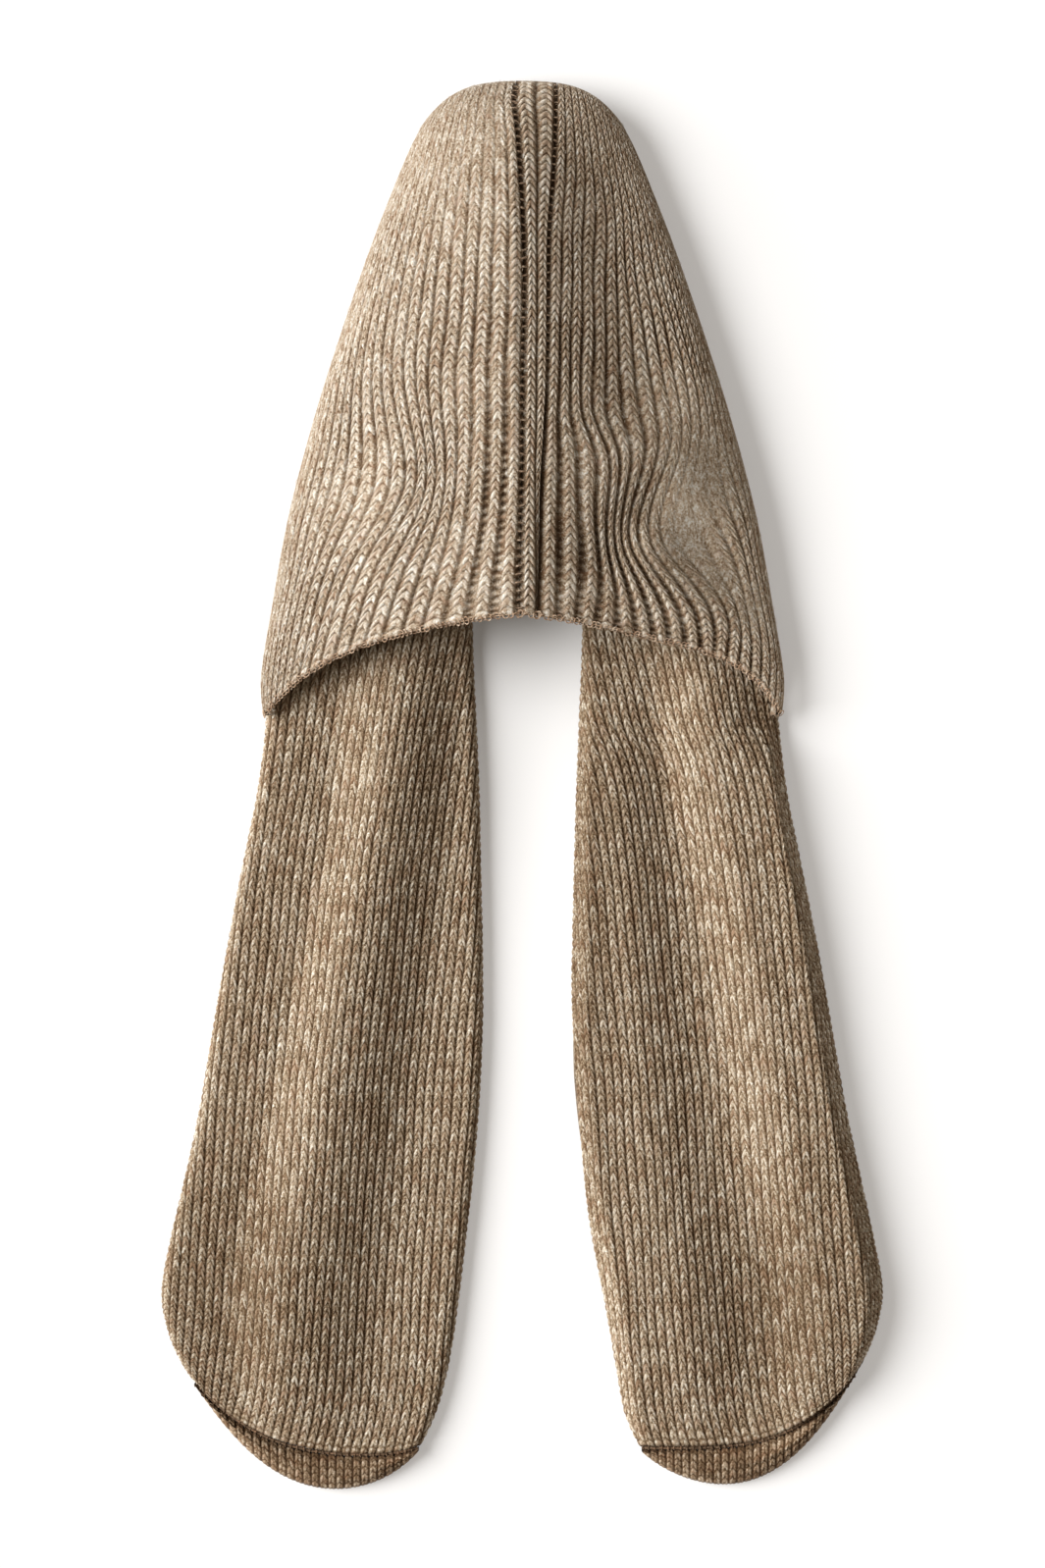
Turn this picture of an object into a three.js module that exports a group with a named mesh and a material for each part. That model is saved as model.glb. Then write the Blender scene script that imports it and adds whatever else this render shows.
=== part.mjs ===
// Hooded scarf in thick knit, laid flat on its front, seen from the back.
// Millimetres. +Z is up from the surface it lies on, +Y runs to the crown of the hood,
// and the origin is on the surface at the middle of the whole garment.
import * as THREE from "three";

// Driving sizes
const HOOD_WALL = 4.6; // one layer of ribbed knit
const BAND_WALL = 5.4; // the seam band is a little thicker
const SCARF_THICK = 14; // two soft layers of plain knit
const SCARF_EDGE = 9; // width over which the folded edge of the scarf is rounded
const PIECE_GAP = 0.3;
const TUCK_INSET = 3.5; // the hood's edge turns in by this much where it meets the scarf
const TUCK_Z = SCARF_THICK + PIECE_GAP;
const FOLD_Z = 21; // height of the hood's widest line, the side fold
const RIB_RELIEF = 0.9; // crest above and valley below the mean surface
const BENCH = 0.16; // right of the ridge: share of the height that stays up to the side fold
const BENCH_SQUARE = 5; // how late the bench turns down at the side fold
const PEAK_X = -6; // the ridge over the head lies beside the seam
const SOFT_BEND = 1.3; // bend of the easy part of a section line, seen from above
const FOLD_HOLD = 6; // how close to the side fold swirls and pinch die away
const FOLD_SHARE = 1.6; // the skin's folds are whole where the arch is above 1 / 1.6 of its height

const LEFT = {
  sign: -1, ribs: 20, seam: "bandLeft", gather: "gatherLeft", endTurn: "turnLeft",
};
const RIGHT = {
  sign: 1, ribs: 18, seam: "bandRight", gather: "gatherRight", endTurn: "turnRight",
};

// Hood sections from the hem to the crown, each a line across the hood.
// y: place on the centre line. foldY, half: where the line meets the side fold.
// rise: height of the ridge. fullLeft: 1 is a tent, 3 a flat-topped arch. roundLeft: how round it meets the fold.
// dropRight: how fast the skin drops from the ridge, 1 at an even slope and above 1 faster at first.
// band: the two seams of the centre band. gather: how fast the ribs close up towards the fold.
// soft, turn: the shape of the line seen from above, an easy curve that turns down at its end.
const HOOD = [
  { y: 112, foldY: 46, half: 174, rise: 72, fullLeft: 1.3, roundLeft: 1.2, dropRight: 1.3,
    bandLeft: -1.7, bandRight: 10.2, gatherLeft: 2.15, gatherRight: 1.6,
    soft: 0.5, turnLeft: 5, turnRight: 8 },
  { y: 150, foldY: 72, half: 175.5, rise: 77, fullLeft: 1.3, roundLeft: 1.2, dropRight: 1.25,
    bandLeft: -1.7, bandRight: 11.4, gatherLeft: 1.8, gatherRight: 1.58,
    soft: 0.5, turnLeft: 5, turnRight: 7 },
  { y: 205, foldY: 120, half: 168, rise: 82, fullLeft: 1.32, roundLeft: 1.25, dropRight: 1.05,
    bandLeft: -0.7, bandRight: 12.4, gatherLeft: 1.6, gatherRight: 1.52,
    soft: 0.45, turnLeft: 4.6, turnRight: 5 },
  { y: 262, foldY: 180, half: 157, rise: 84, fullLeft: 1.4, roundLeft: 1.4, dropRight: 1.1,
    bandLeft: 0.3, bandRight: 17.6, gatherLeft: 1.6, gatherRight: 1.38,
    soft: 0.4, turnLeft: 4.2, turnRight: 4.2 },
  { y: 315, foldY: 245, half: 140, rise: 83, fullLeft: 1.55, roundLeft: 1.75, dropRight: 1.15,
    bandLeft: 1.8, bandRight: 18.2, gatherLeft: 1.65, gatherRight: 1.4,
    soft: 0.35, turnLeft: 3.8, turnRight: 3.8 },
  { y: 362, foldY: 308, half: 120, rise: 79, fullLeft: 1.55, roundLeft: 1.8, dropRight: 1.15,
    bandLeft: 1.5, bandRight: 18.2, gatherLeft: 1.75, gatherRight: 1.5,
    soft: 0.3, turnLeft: 3.6, turnRight: 3.6 },
  { y: 402, foldY: 360, half: 102, rise: 71, fullLeft: 1.6, roundLeft: 1.8, dropRight: 1.1,
    bandLeft: -0.6, bandRight: 21, gatherLeft: 1.85, gatherRight: 1.7,
    soft: 0.24, turnLeft: 3.5, turnRight: 3.5 },
  { y: 434, foldY: 400, half: 86.5, rise: 59, fullLeft: 1.8, roundLeft: 1.8, dropRight: 1.1,
    bandLeft: -3, bandRight: 22.6, gatherLeft: 1.9, gatherRight: 1.8,
    soft: 0.18, turnLeft: 3.5, turnRight: 3.5 },
  { y: 455, foldY: 424, half: 76.5, rise: 46, fullLeft: 2.2, roundLeft: 1.8, dropRight: 0.9,
    bandLeft: -5.6, bandRight: 23.2, gatherLeft: 1.9, gatherRight: 1.85,
    soft: 0.13, turnLeft: 3.5, turnRight: 3.5 },
  { y: 467, foldY: 437, half: 70, rise: 33, fullLeft: 2.6, roundLeft: 1.8, dropRight: 0.7,
    bandLeft: -5, bandRight: 23.3, gatherLeft: 1.8, gatherRight: 1.8,
    soft: 0.1, turnLeft: 3.5, turnRight: 3.5 },
  { y: 472, foldY: 442, half: 67.5, rise: FOLD_Z, fullLeft: 2.8, roundLeft: 1.8, dropRight: 0.7,
    bandLeft: -4.6, bandRight: 23.2, gatherLeft: 1.7, gatherRight: 1.7,
    soft: 0.1, turnLeft: 3.5, turnRight: 3.5 },
];

// Places where the knit is pushed sideways, so that its ribs bend: centre, reach and push
const SWIRLS = [
  { x: -78, y: 205, reachX: 42, reachY: 48, pushX: 7, pushY: 0 },
  { x: 108, y: 160, reachX: 38, reachY: 42, pushX: -3, pushY: -6 },
];

// Where the ribs are drawn together towards the seam: not at all at x start and end, most at x most
const PINCH = { start: 20, most: 102, end: 124, y: 168, reachY: 44, depth: 18 };

// Folds of the hood's skin, each a ridge (or with a negative lift a crease) along a line
const FOLDS = [
  { name: "lip over the right hem", x0: 84, y0: 150, x1: 168, y1: 74, width: 17, lift: 4 },
  { name: "crease above the lip", x0: 92, y0: 184, x1: 160, y1: 124, width: 20, lift: -8 },
  { name: "hollow right of the seam", x0: 86, y0: 270, x1: 66, y1: 390, width: 34, lift: -8 },
  { name: "swell on the left", x0: -96, y0: 150, x1: -74, y1: 240, width: 26, lift: 5 },
  { name: "dent below the hollow", x0: 66, y0: 150, x1: 72, y1: 176, width: 22, lift: -4 },
];

// The seam band's section: two rounded ribs with the seam line between them
const BAND_SECTION = [
  { across: 0, relief: -0.6 },
  { across: 0.14, relief: 0.7 },
  { across: 0.32, relief: 0.9 },
  { across: 0.5, relief: -0.7 },
  { across: 0.68, relief: 0.9 },
  { across: 0.86, relief: 0.7 },
  { across: 1, relief: -0.6 },
];

// Scarf sections from the crown, under the hood, to the toe seam.
// inner, outer: the two edges. bow: how far the section line sags between them.
const SCARF_LEFT = [
  { innerX: -0.3, innerY: 466, outerX: -65, outerY: 441, bow: -11 },
  { innerX: -0.3, innerY: 436, outerX: -76, outerY: 418, bow: -6 },
  { innerX: -1.5, innerY: 400, outerX: -90, outerY: 389, bow: -3 },
  { innerX: -12, innerY: 352, outerX: -104, outerY: 350, bow: 0 },
  { innerX: -21, innerY: 302, outerX: -121, outerY: 302, bow: 0 },
  { innerX: -27, innerY: 250, outerX: -137.5, outerY: 250, bow: 0 },
  { innerX: -31, innerY: 195, outerX: -152.5, outerY: 195, bow: 0 },
  { innerX: -33, innerY: 140, outerX: -164.5, outerY: 140, bow: 0 },
  { innerX: -32.8, innerY: 90, outerX: -172, outerY: 90, bow: 0 },
  { innerX: -30.5, innerY: 40, outerX: -173.5, outerY: 40, bow: 0 },
  { innerX: -28.6, innerY: -5, outerX: -179, outerY: -5, bow: 0 },
  { innerX: -27.6, innerY: -55, outerX: -189, outerY: -55, bow: 0 },
  { innerX: -26.4, innerY: -110, outerX: -199.3, outerY: -110, bow: 0 },
  { innerX: -26.4, innerY: -165, outerX: -209, outerY: -165, bow: 0 },
  { innerX: -29, innerY: -218, outerX: -217.8, outerY: -218, bow: 0 },
  { innerX: -33.5, innerY: -270, outerX: -228.5, outerY: -268, bow: 2 },
  { innerX: -38.7, innerY: -315, outerX: -238.5, outerY: -311, bow: 4 },
  { innerX: -43.5, innerY: -355, outerX: -243.5, outerY: -343, bow: 7 },
  { innerX: -49.5, innerY: -392, outerX: -239, outerY: -369, bow: 12 },
  { innerX: -57, innerY: -421, outerX: -231, outerY: -388, bow: 17 },
  { innerX: -68, innerY: -446, outerX: -222.5, outerY: -401.5, bow: 22 },
];
const SCARF_RIGHT = [
  { innerX: 0.3, innerY: 466, outerX: 65, outerY: 441, bow: -11 },
  { innerX: 0.3, innerY: 436, outerX: 76, outerY: 418, bow: -6 },
  { innerX: 1.5, innerY: 400, outerX: 90, outerY: 389, bow: -3 },
  { innerX: 14, innerY: 352, outerX: 104, outerY: 350, bow: 0 },
  { innerX: 25, innerY: 302, outerX: 120.5, outerY: 302, bow: 0 },
  { innerX: 33, innerY: 250, outerX: 136.5, outerY: 250, bow: 0 },
  { innerX: 38, innerY: 195, outerX: 151.5, outerY: 195, bow: 0 },
  { innerX: 40, innerY: 140, outerX: 163, outerY: 140, bow: 0 },
  { innerX: 39.5, innerY: 90, outerX: 170.5, outerY: 90, bow: 0 },
  { innerX: 37.5, innerY: 40, outerX: 173.2, outerY: 40, bow: 0 },
  { innerX: 35.8, innerY: -5, outerX: 178.5, outerY: -5, bow: 0 },
  { innerX: 34.3, innerY: -55, outerX: 188.4, outerY: -55, bow: 0 },
  { innerX: 33.1, innerY: -110, outerX: 199.3, outerY: -110, bow: 0 },
  { innerX: 32.1, innerY: -165, outerX: 209, outerY: -165, bow: 0 },
  { innerX: 34.8, innerY: -218, outerX: 218.3, outerY: -218, bow: 0 },
  { innerX: 40.5, innerY: -270, outerX: 228.5, outerY: -266, bow: 2 },
  { innerX: 48.2, innerY: -315, outerX: 237.5, outerY: -308, bow: 4 },
  { innerX: 56, innerY: -355, outerX: 243, outerY: -340, bow: 7 },
  { innerX: 62.8, innerY: -394, outerX: 239.5, outerY: -364, bow: 12 },
  { innerX: 68.5, innerY: -424, outerX: 233, outerY: -382, bow: 16 },
  { innerX: 78.5, innerY: -447, outerX: 225.5, outerY: -394.5, bow: 21.5 },
];

// Soft lengthwise folds of the scarf, where both layers stand off the surface.
// at0 to at1: place across the scarf, 0 the inner edge and 1 the outer, on the way from yTop to SETTLED_Y.
// reachIn, reachOut: how far the fold spreads to each side, where 2 keeps it up to the scarf's edge.
const RIDGES_LEFT = [
  { name: "middle ridge", at0: 0.3, at1: 0.565, yTop: 130, yEnd: -450, reachIn: 0.33, reachOut: 0.23, lift: 14.5 },
];
const RIDGES_RIGHT = [
  { name: "outer plateau", at0: 0.62, at1: 0.82, yTop: 120, yEnd: -450, reachIn: 0.26, reachOut: 2, lift: 14.5 },
  { name: "inner plateau", at0: 0.1, at1: 0.25, yTop: 90, yEnd: -450, reachIn: 2, reachOut: 0.27, lift: 8 },
];
const SETTLED_Y = -330;
const SPREAD_Y = 50; // below this the folds spread out from their narrow start under the hood
const NARROW_REACH = 0.32;
const RIDGE_FADE = 110; // length over which a fold rises, spreads and dies away
const RIDGE_EDGE = 0.07; // share of the scarf's width over which a fold comes down to the edge

// innerSag, outerSag: how much more the section lines of the tail's end sag beside each edge
const TAIL_LEFT = { rows: SCARF_LEFT, ridges: RIDGES_LEFT, innerSag: 3.2, outerSag: 1.2, toeDepth: 25 };
const TAIL_RIGHT = { rows: SCARF_RIGHT, ridges: RIDGES_RIGHT, innerSag: 1.2, outerSag: 2.3, toeDepth: 26.5 };

// The toe: the turned-up end below the toe seam
const TOE_CREST = 16;
const TOE_SEAM_Z = 12;
const TOE_FULL_DEPTH = 18; // where the toe is this deep its crest has its whole height
const TOE_INSET = 0.02; // share of the seam left free at each end
const TOE_SKEW = 0.85; // below 1 the toe is deepest towards the inner edge
const TOE_ROUND = 0.85; // below 1 the toe's outline is fuller than a half wave

// The toe's section below its crest: share of its depth away from the seam, share of the crest's height
const TOE_SECTION = [
  { out: 0.45, up: 1 },
  { out: 0.75, up: 0.86 },
  { out: 0.93, up: 0.62 },
  { out: 1, up: 0.36 },
  { out: 0.97, up: 0.12 },
  { out: 0.88, up: 0 },
  { out: 0.1, up: 0 },
];

// How finely the pieces are cut
const HOOD_STEP = 0.5; // rows between two sections of the table
const SCARF_STATIONS = 32;
const SCARF_SPANS = 8;
const BOW_SKEW = 1.3; // above 1 the bow of a section line is deepest beyond its middle
const TOE_STATIONS = 16;

const COLOURS = { hood: "#a8937a", band: "#93795f", scarf: "#8f7a64", toe: "#806c58" };

// A smooth curve through one column of a table; at counts rows from 0
function column(rows, name, at) {
  const last = rows.length - 1;
  const i = Math.min(Math.floor(at), last - 1);
  const f = at - i;
  const [a, b, c, d] = [i - 1, i, i + 1, i + 2].map((j) => rows[Math.min(Math.max(j, 0), last)][name]);
  return b + 0.5 * f * (c - a + f * (2 * a - 5 * b + 4 * c - d + f * (3 * (b - c) + d - a)));
}

// Share of the way from the seam to the fold of a rib that lies at share u of the ribs
const gathered = (u, gather) => 1 - Math.pow(Math.max(1 - u, 0), gather);

function distanceToLine(x, y, line) {
  const dx = line.x1 - line.x0;
  const dy = line.y1 - line.y0;
  const along = ((x - line.x0) * dx + (y - line.y0) * dy) / (dx * dx + dy * dy);
  const t = Math.min(Math.max(along, 0), 1);
  return Math.hypot(x - line.x0 - t * dx, y - line.y0 - t * dy);
}

// An easy step from 0 to 1
const ease = (x) => THREE.MathUtils.smoothstep(x, 0, 1);

// How far the pinch draws the knit at x, y towards the seam
function pinched(x, y) {
  const rise = ease((x - PINCH.start) / (PINCH.most - PINCH.start));
  const fall = 1 - ease((x - PINCH.most) / (PINCH.end - PINCH.most));
  return PINCH.depth * rise * fall * Math.exp(-(((y - PINCH.y) / PINCH.reachY) ** 2));
}

// The hood's mean skin where section line t has the sideways place x
function skin(t, x, side) {
  const half = column(HOOD, "half", t);
  const y0 = column(HOOD, "y", t);
  const soft = column(HOOD, "soft", t);
  const across = Math.min(Math.abs(x) / half, 1);
  const turn = column(HOOD, side.endTurn, t);
  const fall = soft * Math.pow(across, SOFT_BEND) + (1 - soft) * Math.pow(across, turn);
  let px = x;
  let py = y0 - (y0 - column(HOOD, "foldY", t)) * fall;
  for (const s of SWIRLS) {
    const near = Math.exp(-0.5 * (((x - s.x) / s.reachX) ** 2 + ((py - s.y) / s.reachY) ** 2));
    const hold = near * (1 - Math.pow(across, FOLD_HOLD));
    px += s.pushX * hold;
    py += s.pushY * hold;
  }
  const pull = pinched(x, py) * (1 - Math.pow(across, FOLD_HOLD));
  px -= pull;
  const drawn = x - pull;
  const reach = drawn < PEAK_X ? half + PEAK_X : half - PEAK_X;
  const away = Math.min(Math.abs(drawn - PEAK_X) / reach, 1);
  const arch =
    drawn < PEAK_X
      ? Math.pow(1 - Math.pow(away, column(HOOD, "fullLeft", t)), 1 / column(HOOD, "roundLeft", t))
      : (1 - BENCH) * Math.pow(1 - away, column(HOOD, "dropRight", t)) +
        BENCH * Math.sqrt(1 - away ** BENCH_SQUARE);
  let z = FOLD_Z + (column(HOOD, "rise", t) - FOLD_Z) * arch;
  for (const f of FOLDS) {
    const d = distanceToLine(px, py, f) / f.width;
    z += f.lift * Math.exp(-d * d) * Math.min(arch * FOLD_SHARE, 1);
  }
  return new THREE.Vector3(px, py, z);
}

// Rows of points to a grid with unit normals, by differences along both ways
function gridNormals(grid, sign) {
  return grid.map((row, j) =>
    row.map((_, i) => {
      const along = grid[Math.min(j + 1, grid.length - 1)][i].clone().sub(grid[Math.max(j - 1, 0)][i]);
      const over = row[Math.min(i + 1, row.length - 1)].clone().sub(row[Math.max(i - 1, 0)]);
      return over.cross(along).multiplyScalar(sign).normalize();
    }),
  );
}

// A closed wall between an outer and an inner grid of the same size
function wall(outer, inner, flip) {
  const rows = outer.length;
  const cols = outer[0].length;
  const points = [...outer.flat(), ...inner.flat()];
  const at = (layer, j, i) => layer * rows * cols + j * cols + i;
  const faces = [];
  const quad = (a, b, c, d) => faces.push(a, b, c, a, c, d);
  for (let j = 0; j + 1 < rows; j++) {
    for (let i = 0; i + 1 < cols; i++) {
      quad(at(0, j, i), at(0, j, i + 1), at(0, j + 1, i + 1), at(0, j + 1, i));
      quad(at(1, j, i), at(1, j + 1, i), at(1, j + 1, i + 1), at(1, j, i + 1));
    }
    quad(at(0, j, 0), at(0, j + 1, 0), at(1, j + 1, 0), at(1, j, 0));
    quad(at(0, j + 1, cols - 1), at(0, j, cols - 1), at(1, j, cols - 1), at(1, j + 1, cols - 1));
  }
  for (let i = 0; i + 1 < cols; i++) {
    quad(at(0, 0, i + 1), at(0, 0, i), at(1, 0, i), at(1, 0, i + 1));
    quad(at(0, rows - 1, i), at(0, rows - 1, i + 1), at(1, rows - 1, i + 1), at(1, rows - 1, i));
  }
  return solid(points, faces, flip);
}

// A closed loft through rings of points, its two ends capped with fans
function loft(rings, flip) {
  const n = rings[0].length;
  const points = rings.flat();
  const faces = [];
  for (let j = 0; j + 1 < rings.length; j++) {
    for (let i = 0; i < n; i++) {
      const a = j * n + i;
      const b = j * n + ((i + 1) % n);
      faces.push(a, b, b + n, a, b + n, a + n);
    }
  }
  const end = (rings.length - 1) * n;
  for (let i = 0; i < n / 2 - 1; i++) {
    const strip = [i, i + 1, n - 2 - i, n - 1 - i];
    faces.push(strip[0], strip[2], strip[1], strip[0], strip[3], strip[2]);
    const far = strip.map((k) => k + end);
    faces.push(far[0], far[1], far[2], far[0], far[2], far[3]);
  }
  return solid(points, faces, flip);
}

function solid(points, faces, flip) {
  const position = new Float32Array(points.flatMap((p) => [p.x, p.y, p.z]));
  const index = [];
  for (let f = 0; f < faces.length; f += 3) {
    const [a, b, c] = faces.slice(f, f + 3);
    index.push(a, flip ? c : b, flip ? b : c);
  }
  const geometry = new THREE.BufferGeometry();
  geometry.setAttribute("position", new THREE.BufferAttribute(position, 3));
  geometry.setIndex(index);
  geometry.computeVertexNormals();
  return geometry;
}

function sectionStops() {
  const last = HOOD.length - 1;
  return Array.from({ length: last / HOOD_STEP + 1 }, (_, j) => Math.min(j * HOOD_STEP, last));
}

// The inner face of a wall, kept above the scarf that it lies on
function innerFace(outer, normals, thickness) {
  return outer.map((row, j) =>
    row.map((p, i) => {
      const q = p.clone().addScaledVector(normals[j][i], -thickness);
      q.z = Math.max(q.z, TUCK_Z);
      return q;
    }),
  );
}

// Turns the last row in, down on to the scarf
const tucked = (p, inX, inY) => new THREE.Vector3(p.x + inX, p.y + inY, TUCK_Z);

function hoodHalf(side) {
  const stops = sectionStops();
  const columns = Array.from({ length: 2 * side.ribs + 1 }, (_, i) => i / 2);
  const grid = stops.map((t) => {
    const seam = column(HOOD, side.seam, t) + side.sign * 0.5 * PIECE_GAP;
    const fold = side.sign * column(HOOD, "half", t);
    const gather = column(HOOD, side.gather, t);
    return columns.map((k) => skin(t, seam + (fold - seam) * gathered(k / side.ribs, gather), side));
  });
  const normals = gridNormals(grid, side.sign);
  const outer = grid.map((row, j) =>
    row.map((p, i) => {
      const edge = Math.min(i, 0.4 * (row.length - 1 - i), 0.5 * (grid.length - 1 - j), 1);
      return p.clone().addScaledVector(normals[j][i], edge * (i % 2 ? RIB_RELIEF : -RIB_RELIEF));
    }),
  );
  for (const row of outer) row.push(tucked(row[row.length - 1], -side.sign * TUCK_INSET, 0));
  outer.push(outer[outer.length - 1].map((p) => tucked(p, 0, -TUCK_INSET)));
  const inner = innerFace(outer, gridNormals(outer, side.sign), HOOD_WALL);
  return wall(outer, inner, side.sign < 0);
}

function seamBand() {
  const stops = sectionStops();
  const grid = stops.map((t) => {
    const from = column(HOOD, "bandLeft", t) + 0.5 * PIECE_GAP;
    const to = column(HOOD, "bandRight", t) - 0.5 * PIECE_GAP;
    return BAND_SECTION.map((s) => skin(t, from + (to - from) * s.across, RIGHT));
  });
  const normals = gridNormals(grid, 1);
  const outer = grid.map((row, j) =>
    row.map((p, i) => p.clone().addScaledVector(normals[j][i], BAND_SECTION[i].relief)),
  );
  outer.push(outer[outer.length - 1].map((p) => tucked(p, 0, -TUCK_INSET)));
  return wall(outer, innerFace(outer, gridNormals(outer, 1), BAND_WALL), false);
}

// How far the folds lift the scarf off the surface at share v across it
function scarfLift(ridges, y, v) {
  const spread = ease((SPREAD_Y - y) / RIDGE_FADE);
  return ridges.reduce((sum, r) => {
    const down = Math.min(Math.max((r.yTop - y) / (r.yTop - SETTLED_Y), 0), 1);
    const fade = Math.min(1, (r.yTop - y) / RIDGE_FADE, (y - r.yEnd) / RIDGE_FADE);
    if (fade <= 0) return sum;
    const place = r.at0 + (r.at1 - r.at0) * Math.sin((Math.PI / 2) * down);
    const reach = NARROW_REACH + ((v < place ? r.reachIn : r.reachOut) - NARROW_REACH) * spread;
    const d = Math.min(Math.abs(v - place) / reach, 1);
    const edge = ease(Math.min(v, 1 - v) / RIDGE_EDGE);
    return sum + r.lift * fade * (2 - fade) * (1 - d * d) ** 2 * edge;
  }, 0);
}

// A point of the scarf's lower face, at row coordinate t and share v across
function scarfPlan(tail, t, v) {
  const c = (name) => column(tail.rows, name, t);
  const x = c("innerX") + (c("outerX") - c("innerX")) * v;
  const line = c("innerY") + (c("outerY") - c("innerY")) * v;
  const ends = tail.innerSag * v * (1 - v) ** 4 + tail.outerSag * v ** 4 * (1 - v);
  const y = line - c("bow") * Math.sin(Math.PI * v ** BOW_SKEW) - Math.max(c("bow"), 0) * ends;
  return new THREE.Vector2(x, y);
}

function scarfLength(tail, flip) {
  const { rows, ridges } = tail;
  const rings = Array.from({ length: SCARF_STATIONS }, (_, j) => {
    const t = (j / (SCARF_STATIONS - 1)) * (rows.length - 1);
    const width = Math.abs(column(rows, "outerX", t) - column(rows, "innerX", t));
    const edge = SCARF_EDGE / width;
    const inner = [0, 0.2 * edge, 0.55 * edge];
    const middle = Array.from({ length: SCARF_SPANS + 1 }, (_, i) => edge + ((1 - 2 * edge) * i) / SCARF_SPANS);
    const shares = [...inner, ...middle, ...inner.toReversed().map((v) => 1 - v)];
    const place = (v, upper) => {
      const plan = scarfPlan(tail, t, v);
      const rim = Math.min(v, 1 - v, edge) / edge;
      const swell = Math.sqrt(1 - (1 - rim) ** 2);
      const z = 0.5 * SCARF_THICK * (1 + (upper ? swell : -swell)) + scarfLift(ridges, plan.y, v);
      return new THREE.Vector3(plan.x, plan.y, z);
    };
    const top = shares.slice(1).map((v) => place(v, true));
    const under = shares.slice(0, -1).toReversed().map((v) => place(v, false));
    return [...top, ...under];
  });
  return loft(rings, flip);
}

// Depth of the toe below its seam, at share v from the inner edge to the outer
const toeDepth = (tail, v) => tail.toeDepth * Math.pow(Math.sin(Math.PI * Math.pow(v, TOE_SKEW)), TOE_ROUND);

function toe(tail, flip) {
  const last = tail.rows.length - 1;
  const rings = Array.from({ length: TOE_STATIONS }, (_, j) => {
    const v = TOE_INSET + ((1 - 2 * TOE_INSET) * j) / (TOE_STATIONS - 1);
    const seam = scarfPlan(tail, last, v);
    const depth = toeDepth(tail, v);
    const crest = TOE_SEAM_Z + (TOE_CREST - TOE_SEAM_Z) * Math.min(1, depth / TOE_FULL_DEPTH);
    const profile = [
      [0, 0.4], [0, TOE_SEAM_Z], [0.2, 0.5 * (TOE_SEAM_Z + crest)],
      ...TOE_SECTION.map((s) => [s.out, s.up * crest]),
    ];
    return profile.map(([share, z]) => new THREE.Vector3(seam.x, seam.y - PIECE_GAP - depth * share, z));
  });
  return loft(rings, flip);
}

function piece(name, geometry, colour) {
  const material = new THREE.MeshStandardMaterial({ color: colour, roughness: 0.95, metalness: 0 });
  const mesh = new THREE.Mesh(geometry, material);
  mesh.name = name;
  return mesh;
}

const hoodedScarf = new THREE.Group();
hoodedScarf.add(
  piece("hood_left", hoodHalf(LEFT), COLOURS.hood),
  piece("hood_right", hoodHalf(RIGHT), COLOURS.hood),
  piece("seam_band", seamBand(), COLOURS.band),
  piece("scarf_left", scarfLength(TAIL_LEFT, false), COLOURS.scarf),
  piece("scarf_right", scarfLength(TAIL_RIGHT, true), COLOURS.scarf),
  piece("toe_left", toe(TAIL_LEFT, true), COLOURS.toe),
  piece("toe_right", toe(TAIL_RIGHT, false), COLOURS.toe),
);

export default hoodedScarf;
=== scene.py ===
"""Looks of the hooded scarf.

The knit is made as meshes whose rows follow the legs of the stitches, so each stitch has its own shape.
Tables and sizes of the garment are in millimetres. Meshes are in metres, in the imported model's frame.
"""
import logging
import math
from dataclasses import dataclass
from enum import Enum

import bpy
import numpy as np
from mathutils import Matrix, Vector


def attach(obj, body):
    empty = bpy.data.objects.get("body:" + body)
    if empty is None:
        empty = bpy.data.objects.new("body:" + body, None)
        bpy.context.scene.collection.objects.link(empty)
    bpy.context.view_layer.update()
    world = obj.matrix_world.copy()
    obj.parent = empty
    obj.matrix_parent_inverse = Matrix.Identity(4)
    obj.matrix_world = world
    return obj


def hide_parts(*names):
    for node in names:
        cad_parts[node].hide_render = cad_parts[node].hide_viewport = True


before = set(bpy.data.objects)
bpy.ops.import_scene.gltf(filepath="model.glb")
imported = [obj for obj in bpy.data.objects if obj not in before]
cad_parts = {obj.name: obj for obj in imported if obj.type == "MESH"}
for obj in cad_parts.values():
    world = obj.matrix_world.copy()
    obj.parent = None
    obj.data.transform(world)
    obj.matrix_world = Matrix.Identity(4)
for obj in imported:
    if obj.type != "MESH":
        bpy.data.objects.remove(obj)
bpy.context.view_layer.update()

LOG = logging.getLogger("hooded_scarf")
MM = 0.001
BODY = "root"

Socket = bpy.types.NodeSocket

# Three grids or lists that belong together, such as the points of a line with two directions at each point.
Three = tuple[np.ndarray, np.ndarray, np.ndarray]


class Side(Enum):
    """Left and right as seen from above, with the crown at the top."""

    LEFT = -1
    RIGHT = 1

    @property
    def word(self) -> str:
        """The side's name in lower case."""
        return self.name.lower()

    def column(self, name: str) -> str:
        """The hood table's column of that name for this side."""
        return name + self.name.title()


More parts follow.
